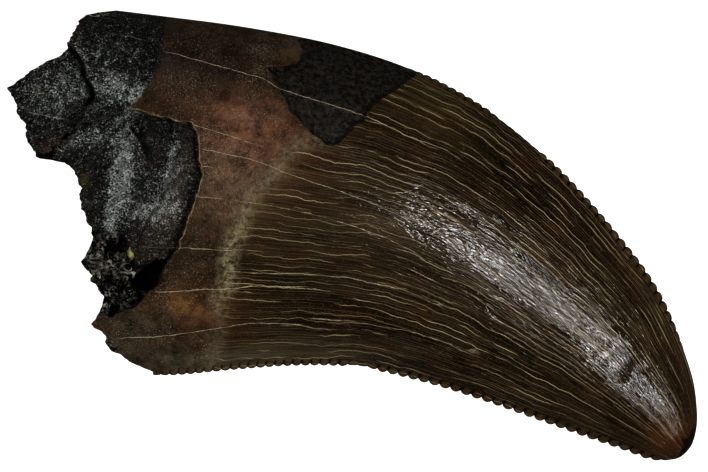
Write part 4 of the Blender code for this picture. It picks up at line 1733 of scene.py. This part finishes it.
def coordinates(mesh: bpy.types.Mesh) -> Array:
    """Where a mesh has its points.

    Args:
        mesh: The mesh.

    Returns:
        A row of x, y and z for each point.
    """
    flat = np.empty(len(mesh.vertices) * 3, np.float32)
    mesh.vertices.foreach_get("co", flat)
    return flat.reshape(-1, 3)


def change(kind: str, **settings) -> None:
    """Give the active object a modifier and apply it.

    Args:
        kind: The modifier's type.
        **settings: Its settings.
    """
    thing = bpy.context.active_object
    bpy.ops.object.modifier_add(type=kind)
    for name, value in settings.items():
        setattr(thing.modifiers[0], name, value)
    bpy.ops.object.modifier_apply(modifier=thing.modifiers[0].name)


def below(tooth: Thing, x: float, y: float) -> tuple[bool, Vector, Vector]:
    """Where a line straight down meets the tooth.

    Args:
        tooth: The tooth.
        x: The line's x, in millimetres.
        y: Its y.

    Returns:
        Whether it meets the tooth, where, in metres, and which way the surface faces there.
    """
    return tooth.ray_cast(Vector((x * MM, y * MM, DROP_FROM_M)), Vector((0.0, 0.0, -1.0)))[:3]


@dataclass
class Tooth:
    """The whole tooth, one piece of stone."""

    crown: Crown = field(default_factory=Crown)
    root: BrokenRoot = field(default_factory=BrokenRoot)
    markings: Markings = field(default_factory=Markings)
    finish: FossilFinish = field(default_factory=FossilFinish)
    upper_steps: int = 330
    under_steps: int = 140
    tip_rings: int = 26
    blade_rings: int = 640
    trend_rings: int = 235
    detail_rings: int = 64
    even_window: int = 67
    root_rings: int = 56
    edge_crowding: float = 0.70
    # Where along the tooth the jags of the break are laid out, and where its under side reads their noise.
    jag_place: float = 4.0
    under_jags: float = 9.0
    standing_flat: float = 0.05
    triangles: int = 196000
    weld_mm: float = 0.00001
    smooth_below: float = 55.0
    # Which slice of the cracks' noise the upper side reads, and a distance at which no groove shows.
    upper_slice: float = 40.0
    no_groove: float = 1.0
    shift: Array = field(init=False, repr=False)

    def rings(self, share: Array, upper: Array) -> Array:
        """How far along the tooth each ring runs, from the tip to the jagged line of the break.

        Args:
            share: How far across each point of a ring lies.
            upper: Whether it is on the upper side.

        Returns:
            A row of places for each ring.
        """
        crown, root = self.crown, self.root
        turn = np.linspace(np.pi / 2, 0, self.tip_rings + 1)[1:]
        blade_end = crown.tip_place - crown.tip_rounding
        tip_places = blade_end + crown.tip_rounding * np.sin(turn)
        lines = [root.place(crown, share, line) for line in (root.upper_break, root.under_break)]
        front, back = crown.section(np.full(share.shape, self.jag_place))[:2]
        around = share * np.linalg.norm(back - front, axis=-1)
        broken = np.where(upper, *lines) + rough(around, np.where(upper, 0.0, self.under_jags), root.jags)
        start = broken.mean()
        trend = start + evened(broken - start, self.even_window)
        blade_places = np.linspace(blade_end, start, self.blade_rings + 1)[1:]
        places = np.concatenate([tip_places, blade_places])
        rings_left = np.arange(len(places))[::-1, None]
        trend_pull = np.clip(1 - rings_left / self.trend_rings, 0, 1)
        detail_pull = np.clip(1 - rings_left / self.detail_rings, 0, 1)
        return places[:, None] + (trend - start) * trend_pull + (broken - trend) * detail_pull

    def grid(self) -> Array:
        """The tooth's points.

        Returns:
            x, y and z of the tip, then of ring after ring to the root, then of the middle of the root's face.
        """
        crown, root = self.crown, self.root
        across = np.linspace(0, 1, self.upper_steps + 1)
        down = np.linspace(1, 0, self.under_steps + 1)[1:-1]
        share = np.concatenate([across, down])
        share = self.edge_crowding * (1 - np.cos(np.pi * share)) / 2 + (1 - self.edge_crowding) * share
        upper = np.arange(len(share)) <= self.upper_steps

        along = self.rings(share, upper)
        shares = np.broadcast_to(share, along.shape)
        uppers = np.broadcast_to(upper, along.shape)
        points = crown.points(shares, along, uppers)
        root.sink(points, uppers, crown.section(along)[2])
        steps = np.linspace(0, 1, self.root_rings + 1)[1:-1]
        face = [root.face_ring(points[-1], step) for step in steps]
        front, back, height = crown.section(np.array(crown.tip_place))[:3]
        tip = np.array([*((front + back) / 2), height])
        return np.concatenate([tip[None], points.reshape(-1, 3), *face, root.middle[None]])

    def model(self) -> Thing:
        """Wrap a sheet round the tooth's points, and thin its mesh where it is smooth.

        Returns:
            The tooth, in millimetres and not yet in its place.
        """
        points = self.grid()
        low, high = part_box("tooth")
        centre = np.array((low + high) / 2) / MM
        self.shift = centre - (points.max(axis=0) + points.min(axis=0)) / 2
        self.shift[2] = -points[:, 2].min() - self.standing_flat
        segments = self.upper_steps + self.under_steps
        rings = (len(points) - 2) // segments + 1

        deselect()
        bpy.ops.mesh.primitive_grid_add(x_subdivisions=segments, y_subdivisions=rings, size=1.0)
        tooth = bpy.context.active_object
        tooth.name = "fossil_tooth"
        mesh = tooth.data
        turn, ring, _ = np.rint((coordinates(mesh).T + 0.5) * [[segments], [rings], [1]]).astype(int)
        around = 1 + (ring - 1) * segments + turn % segments
        order = np.where(ring == 0, 0, np.where(ring == rings, len(points) - 1, around))
        mesh.vertices.foreach_set("co", points[order].astype(np.float32).ravel())
        mesh.update()
        bpy.ops.object.mode_set(mode="EDIT")
        bpy.ops.mesh.select_all(action="SELECT")
        bpy.ops.mesh.remove_doubles(threshold=self.weld_mm)
        bpy.ops.mesh.normals_make_consistent(inside=False)
        bpy.ops.object.mode_set(mode="OBJECT")
        change("DECIMATE", ratio=self.triangles / (2 * len(points)), use_collapse_triangulate=True)
        return tooth

    def paint(self, tooth: Thing) -> None:
        """Store on each point of the mesh where it lies and what it is made of.

        Args:
            tooth: The tooth, in millimetres and not yet in its place.
        """
        x, y, z = coordinates(tooth.data).astype(float).T
        crown, root, markings = self.crown, self.root, self.markings
        share, along = crown.place_of(x, y)
        front, back, edge_height = crown.section(along, rounded=False)[:3]
        span = np.linalg.norm(back - front, axis=-1)
        upper = z > edge_height
        wander = rough(x, y, root.wander)

        front_teeth, back_teeth = (crown.denticles(along, edge) for edge in Edge)
        nearer_back = share > 0.5
        full = np.where(nearer_back, back_teeth[0], front_teeth[0]) / crown.full_denticle
        count = np.where(nearer_back, back_teeth[1], front_teeth[1])
        gap = np.hypot(np.clip(np.minimum(share, 1 - share), 0, 1) * span, z - edge_height)

        scar = np.where(upper, root.chip.depth(x, y), root.under_scale.depth(x, y)) + wander
        grooves = np.min([groove.line.distance(x, y) for groove in root.grooves], axis=0)
        grooves = np.where(upper, grooves, self.no_groove)
        rubbed = markings.worn_tip.depth(x, y) + wander + markings.worn_rise
        rubbed -= markings.worn_slope * np.abs(z - markings.worn_height)
        blurred = 1 - markings.blur * ramp(y - markings.blurred_from)
        charcoal = (markings.charcoal.depth(x, y) + wander) * blurred
        in_wall = root.inner_wall.depth(x, y) + wander

        vectors = {
            "blade": (share * BLADE_WIDTH, along, np.where(upper, self.upper_slice, 0.0)),
            "zones": (markings.enamel.depth(x, y), charcoal, scar),
            "flakes": (in_wall, root.sediment_depth(x, y, z, upper), rubbed),
            "edge": (gap, count, np.clip(full, 0, 1)),
            # Its first value is how many glints are painted on the black root.
            "grain": (markings.glint(x, y), grooves, span),
            "cracks": markings.crack_map(x, y),
        }
        for name, columns in vectors.items():
            values = np.stack(columns, axis=-1).astype(np.float32)
            layer = tooth.data.attributes.new(name, "FLOAT_VECTOR", "POINT")
            layer.data.foreach_set("vector", values.ravel())
        tones = {
            "tone": markings.tone(x, y, markings.base, markings.stains),
            "char": markings.tone(x, y, markings.char_base, markings.char_stains),
        }
        for name, colours in tones.items():
            layer = tooth.data.attributes.new(name, "FLOAT_COLOR", "POINT")
            layer.data.foreach_set("color", colours.astype(np.float32).ravel())

    def settle(self, tooth: Thing) -> None:
        """Move the mesh to its place on the table, flatten where it touches, and turn it to metres.

        Args:
            tooth: The tooth, in millimetres.
        """
        mesh = tooth.data
        points = coordinates(mesh) + self.shift
        points[:, 2] = np.maximum(points[:, 2], 0.0)
        mesh.vertices.foreach_set("co", (points * MM).astype(np.float32).ravel())
        mesh.update()
        deselect()
        tooth.select_set(True)
        bpy.ops.object.shade_smooth_by_angle(angle=math.radians(self.smooth_below))

    def build(self) -> Thing:
        """Model, paint and dress the tooth.

        Returns:
            The tooth, in its place.
        """
        tooth = self.model()
        self.paint(tooth)
        self.settle(tooth)
        tooth.data.materials.clear()
        tooth.data.materials.append(self.finish.material())
        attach(tooth, "root")
        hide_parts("tooth")
        log.info("%s: %d faces", tooth.name, len(tooth.data.polygons))
        return tooth


@dataclass
class MatrixCrumbs:
    """Lumps of the black sediment that still sit in the root's hollow."""

    area: Outline = Outline((
        (-9.75, -0.10), (-9.00, -0.30), (-8.55, -0.80), (-8.60, -1.60), (-8.10, -1.95), (-8.05, -2.15),
        (-8.70, -2.85), (-9.45, -2.95), (-9.95, -2.20), (-10.15, -1.40), (-9.90, -0.60),
    ))
    finish: SedimentFinish = field(default_factory=SedimentFinish)
    count: int = 40
    radii: Pair = (0.14, 0.46)
    squash: Pair = (0.35, 1.0)
    # Shares of a lump's radius: how far it hangs over the area's edge, how deep it sits, how knobbly it is.
    overhang: float = 0.25
    sunk: float = 0.10
    knobs: float = 0.22
    # How steep the ground may be: the least upward part of its normal.
    least_level: float = 0.2
    voxel: float = 0.030
    triangles: int = 26000
    smooth_below: float = 50.0
    seed: int = 5

    def scatter(self, tooth: Thing) -> list[Thing]:
        """Drop lumps into the hollow, each squashed and turned in its own way.

        Args:
            tooth: The tooth, which the lumps rest on.

        Returns:
            The lumps, in millimetres.
        """
        rng = np.random.default_rng(self.seed)
        corners = np.array(self.area.points)
        lumps: list[Thing] = []
        while len(lumps) < self.count:
            x, y = rng.uniform(corners.min(axis=0), corners.max(axis=0))
            radius = rng.uniform(*self.radii)
            if self.area.depth(np.array([x]), np.array([y]))[0] < radius * (1 - self.overhang):
                continue
            hit, place, normal = below(tooth, x, y)
            if not hit or normal.z < self.least_level:
                continue
            deselect()
            where = (x, y, place.z / MM - radius * self.sunk)
            bpy.ops.mesh.primitive_ico_sphere_add(subdivisions=2, radius=radius, location=where)
            lump = bpy.context.active_object
            bpy.ops.object.mode_set(mode="EDIT")
            bpy.ops.mesh.select_all(action="SELECT")
            bpy.ops.transform.vertex_random(offset=radius * self.knobs, seed=len(lumps))
            bpy.ops.object.mode_set(mode="OBJECT")
            lump.scale = rng.uniform(*self.squash, 3)
            lump.rotation_euler = rng.uniform(0, math.pi, 3)
            lumps.append(lump)
        return lumps

    def fuse(self, lumps: list[Thing]) -> Thing:
        """Fuse the lumps where they touch.

        Args:
            lumps: The lumps, in millimetres.

        Returns:
            The lumps as one piece, in metres.
        """
        deselect()
        for lump in lumps:
            lump.select_set(True)
        bpy.context.view_layer.objects.active = lumps[0]
        bpy.ops.object.join()
        crumbs = bpy.context.active_object
        bpy.ops.object.transform_apply(location=True, rotation=True, scale=True)
        crumbs.name = "black_matrix_crumbs"
        change("REMESH", mode="VOXEL", voxel_size=self.voxel)
        change("SMOOTH", factor=0.5, iterations=2)
        thin = self.triangles / (2 * len(crumbs.data.polygons))
        if thin < 1:
            change("DECIMATE", ratio=thin)
        crumbs.data.transform(Matrix.Scale(MM, 4))
        return crumbs

    def build(self, tooth: Thing) -> Thing:
        """Scatter the lumps in the hollow, fuse them and dress them.

        Args:
            tooth: The tooth, which the lumps rest on.

        Returns:
            The lumps, as one piece.
        """
        crumbs = self.fuse(self.scatter(tooth))
        bpy.ops.object.shade_smooth_by_angle(angle=math.radians(self.smooth_below))
        crumbs.data.materials.clear()
        crumbs.data.materials.append(self.finish.material())
        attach(crumbs, "root")
        log.info("%s: %d faces", crumbs.name, len(crumbs.data.polygons))
        return crumbs


@dataclass
class GoldenCrystal:
    """A grain of honey calcite that grew at the edge of the hollow."""

    place: Pair = (-8.82, -0.68)
    radius: float = 0.20
    stretch: Triple = (0.8, 1.3, 0.8)
    knobs: float = 0.16
    smooth_below: float = 30.0
    seed: int = 3
    finish: CalciteFinish = field(default_factory=CalciteFinish)

    def build(self, tooth: Thing) -> Thing:
        """Set the grain on the tooth where a line straight down meets it.

        Args:
            tooth: The tooth, which the grain sits on.

        Returns:
            The grain.
        """
        _, spot, _ = below(tooth, *self.place)
        deselect()
        bpy.ops.mesh.primitive_ico_sphere_add(subdivisions=3, radius=self.radius * MM, location=spot)
        crystal = bpy.context.active_object
        crystal.name = "golden_calcite"
        crystal.scale = self.stretch
        bpy.ops.object.mode_set(mode="EDIT")
        bpy.ops.mesh.select_all(action="SELECT")
        bpy.ops.transform.vertex_random(offset=self.radius * self.knobs * MM, seed=self.seed)
        bpy.ops.object.mode_set(mode="OBJECT")
        bpy.ops.object.transform_apply(location=True, rotation=True, scale=True)
        bpy.ops.object.shade_smooth_by_angle(angle=math.radians(self.smooth_below))
        crystal.data.materials.append(self.finish.material())
        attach(crystal, "root")
        log.info("%s: %d faces", crystal.name, len(crystal.data.polygons))
        return crystal


@dataclass(frozen=True)
class Lamp:
    """A soft box that faces the tooth, its place and its width and height in metres.

    One that is not mirrored lights the tooth without being seen in its shine, as light through a scrim isn't.
    The roll is its turn about its own axis, in degrees.
    """

    name: str
    place: Triple
    size: Pair
    watts: float
    mirrored: bool = True
    roll: float = 0.0

    def hang(self) -> None:
        """Put the lamp in its place."""
        data = bpy.data.lights.new(self.name, "AREA")
        data.shape = "RECTANGLE"
        data.size, data.size_y = self.size
        data.energy = self.watts
        lamp = bpy.data.objects.new(self.name, data)
        bpy.context.scene.collection.objects.link(lamp)
        lamp.location = self.place
        lamp.rotation_mode = "QUATERNION"
        roll_turn = Quaternion((0.0, 0.0, 1.0), math.radians(self.roll))
        lamp.rotation_quaternion = Vector(self.place).to_track_quat("Z", "Y") @ roll_turn
        lamp.visible_camera = False
        lamp.visible_glossy = self.mirrored


@dataclass
class Studio:
    """A pale table under soft lights, with the camera looking straight down."""

    photo_width: float = 28.32
    lens: float = 600.0
    sensor: float = 36.0
    edge_plane: float = 2.6
    nearest_m: float = 0.01
    farthest_m: float = 10.0
    floor_radius_m: float = 3.0
    floor_colour: str = "bcbcbb"
    floor_roughness: float = 0.6
    floor_glow: float = 0.65
    sky_strength: float = 0.030
    lamps: Sequence[Lamp] = (
        Lamp("strip_right", (0.338, -0.134, 0.476), (0.24, 0.042), 0.64, roll=45.0),
        Lamp("spark_right", (0.402, -0.142, 0.476), (0.07, 0.045), 0.22, roll=45.0),
        Lamp("scrim_right", (0.345, -0.100, 0.480), (0.21, 0.19), 1.65, mirrored=False),
        Lamp("softbox_left", (-0.44, 0.10, 0.40), (0.30, 0.30), 0.7),
        Lamp("scrim_left", (-0.44, 0.10, 0.40), (0.30, 0.30), 0.3, mirrored=False),
        Lamp("fill_behind", (-0.15, 0.50, 0.30), (0.50, 0.20), 0.18),
    )

    def camera(self) -> None:
        """A long lens straight above the tooth, so that its outline isn't drawn in perspective."""
        data = bpy.data.cameras.new("camera")
        data.lens = self.lens
        data.sensor_width = self.sensor
        data.clip_start = self.nearest_m
        data.clip_end = self.farthest_m
        camera = bpy.data.objects.new("camera", data)
        bpy.context.scene.collection.objects.link(camera)
        height = self.photo_width / self.sensor * self.lens + self.edge_plane
        camera.location = (0.0, 0.0, height * MM)
        bpy.context.scene.camera = camera

    def floor(self) -> None:
        """The pale table top, matt acrylic that glows a little, so the eye gets a white without shadows."""
        deselect()
        bpy.ops.mesh.primitive_circle_add(vertices=96, radius=self.floor_radius_m, fill_type="NGON")
        floor = bpy.context.active_object
        floor.name = "table_top"
        g = Shading("white_acrylic")
        g.shader.inputs["Base Color"].default_value = linear(self.floor_colour)
        g.shader.inputs["Roughness"].default_value = self.floor_roughness
        g.shader.inputs["Emission Color"].default_value = WHITE
        g.shader.inputs["Emission Strength"].default_value = self.floor_glow
        floor.data.materials.append(g.material)
        floor.visible_glossy = False

    def sky(self) -> None:
        """A faint even light from all sides."""
        world = bpy.data.worlds.new("studio")
        world.use_nodes = True
        world.node_tree.nodes["Background"].inputs["Color"].default_value = WHITE
        world.node_tree.nodes["Background"].inputs["Strength"].default_value = self.sky_strength
        bpy.context.scene.world = world

    def build(self) -> None:
        """Set up the camera, the table and the lights."""
        self.camera()
        self.floor()
        for lamp in self.lamps:
            lamp.hang()
        self.sky()
        bpy.context.scene.view_settings.view_transform = "Standard"
        bpy.context.scene.view_settings.look = "High Contrast"
        log.info("studio: %d lamps", len(self.lamps))


def main() -> None:
    """Build the tooth and the studio around it."""
    logging.basicConfig(level=logging.INFO, format="%(message)s")
    tooth = Tooth().build()
    MatrixCrumbs().build(tooth)
    GoldenCrystal().build(tooth)
    Studio().build()


if __name__ == "__main__":
    main()
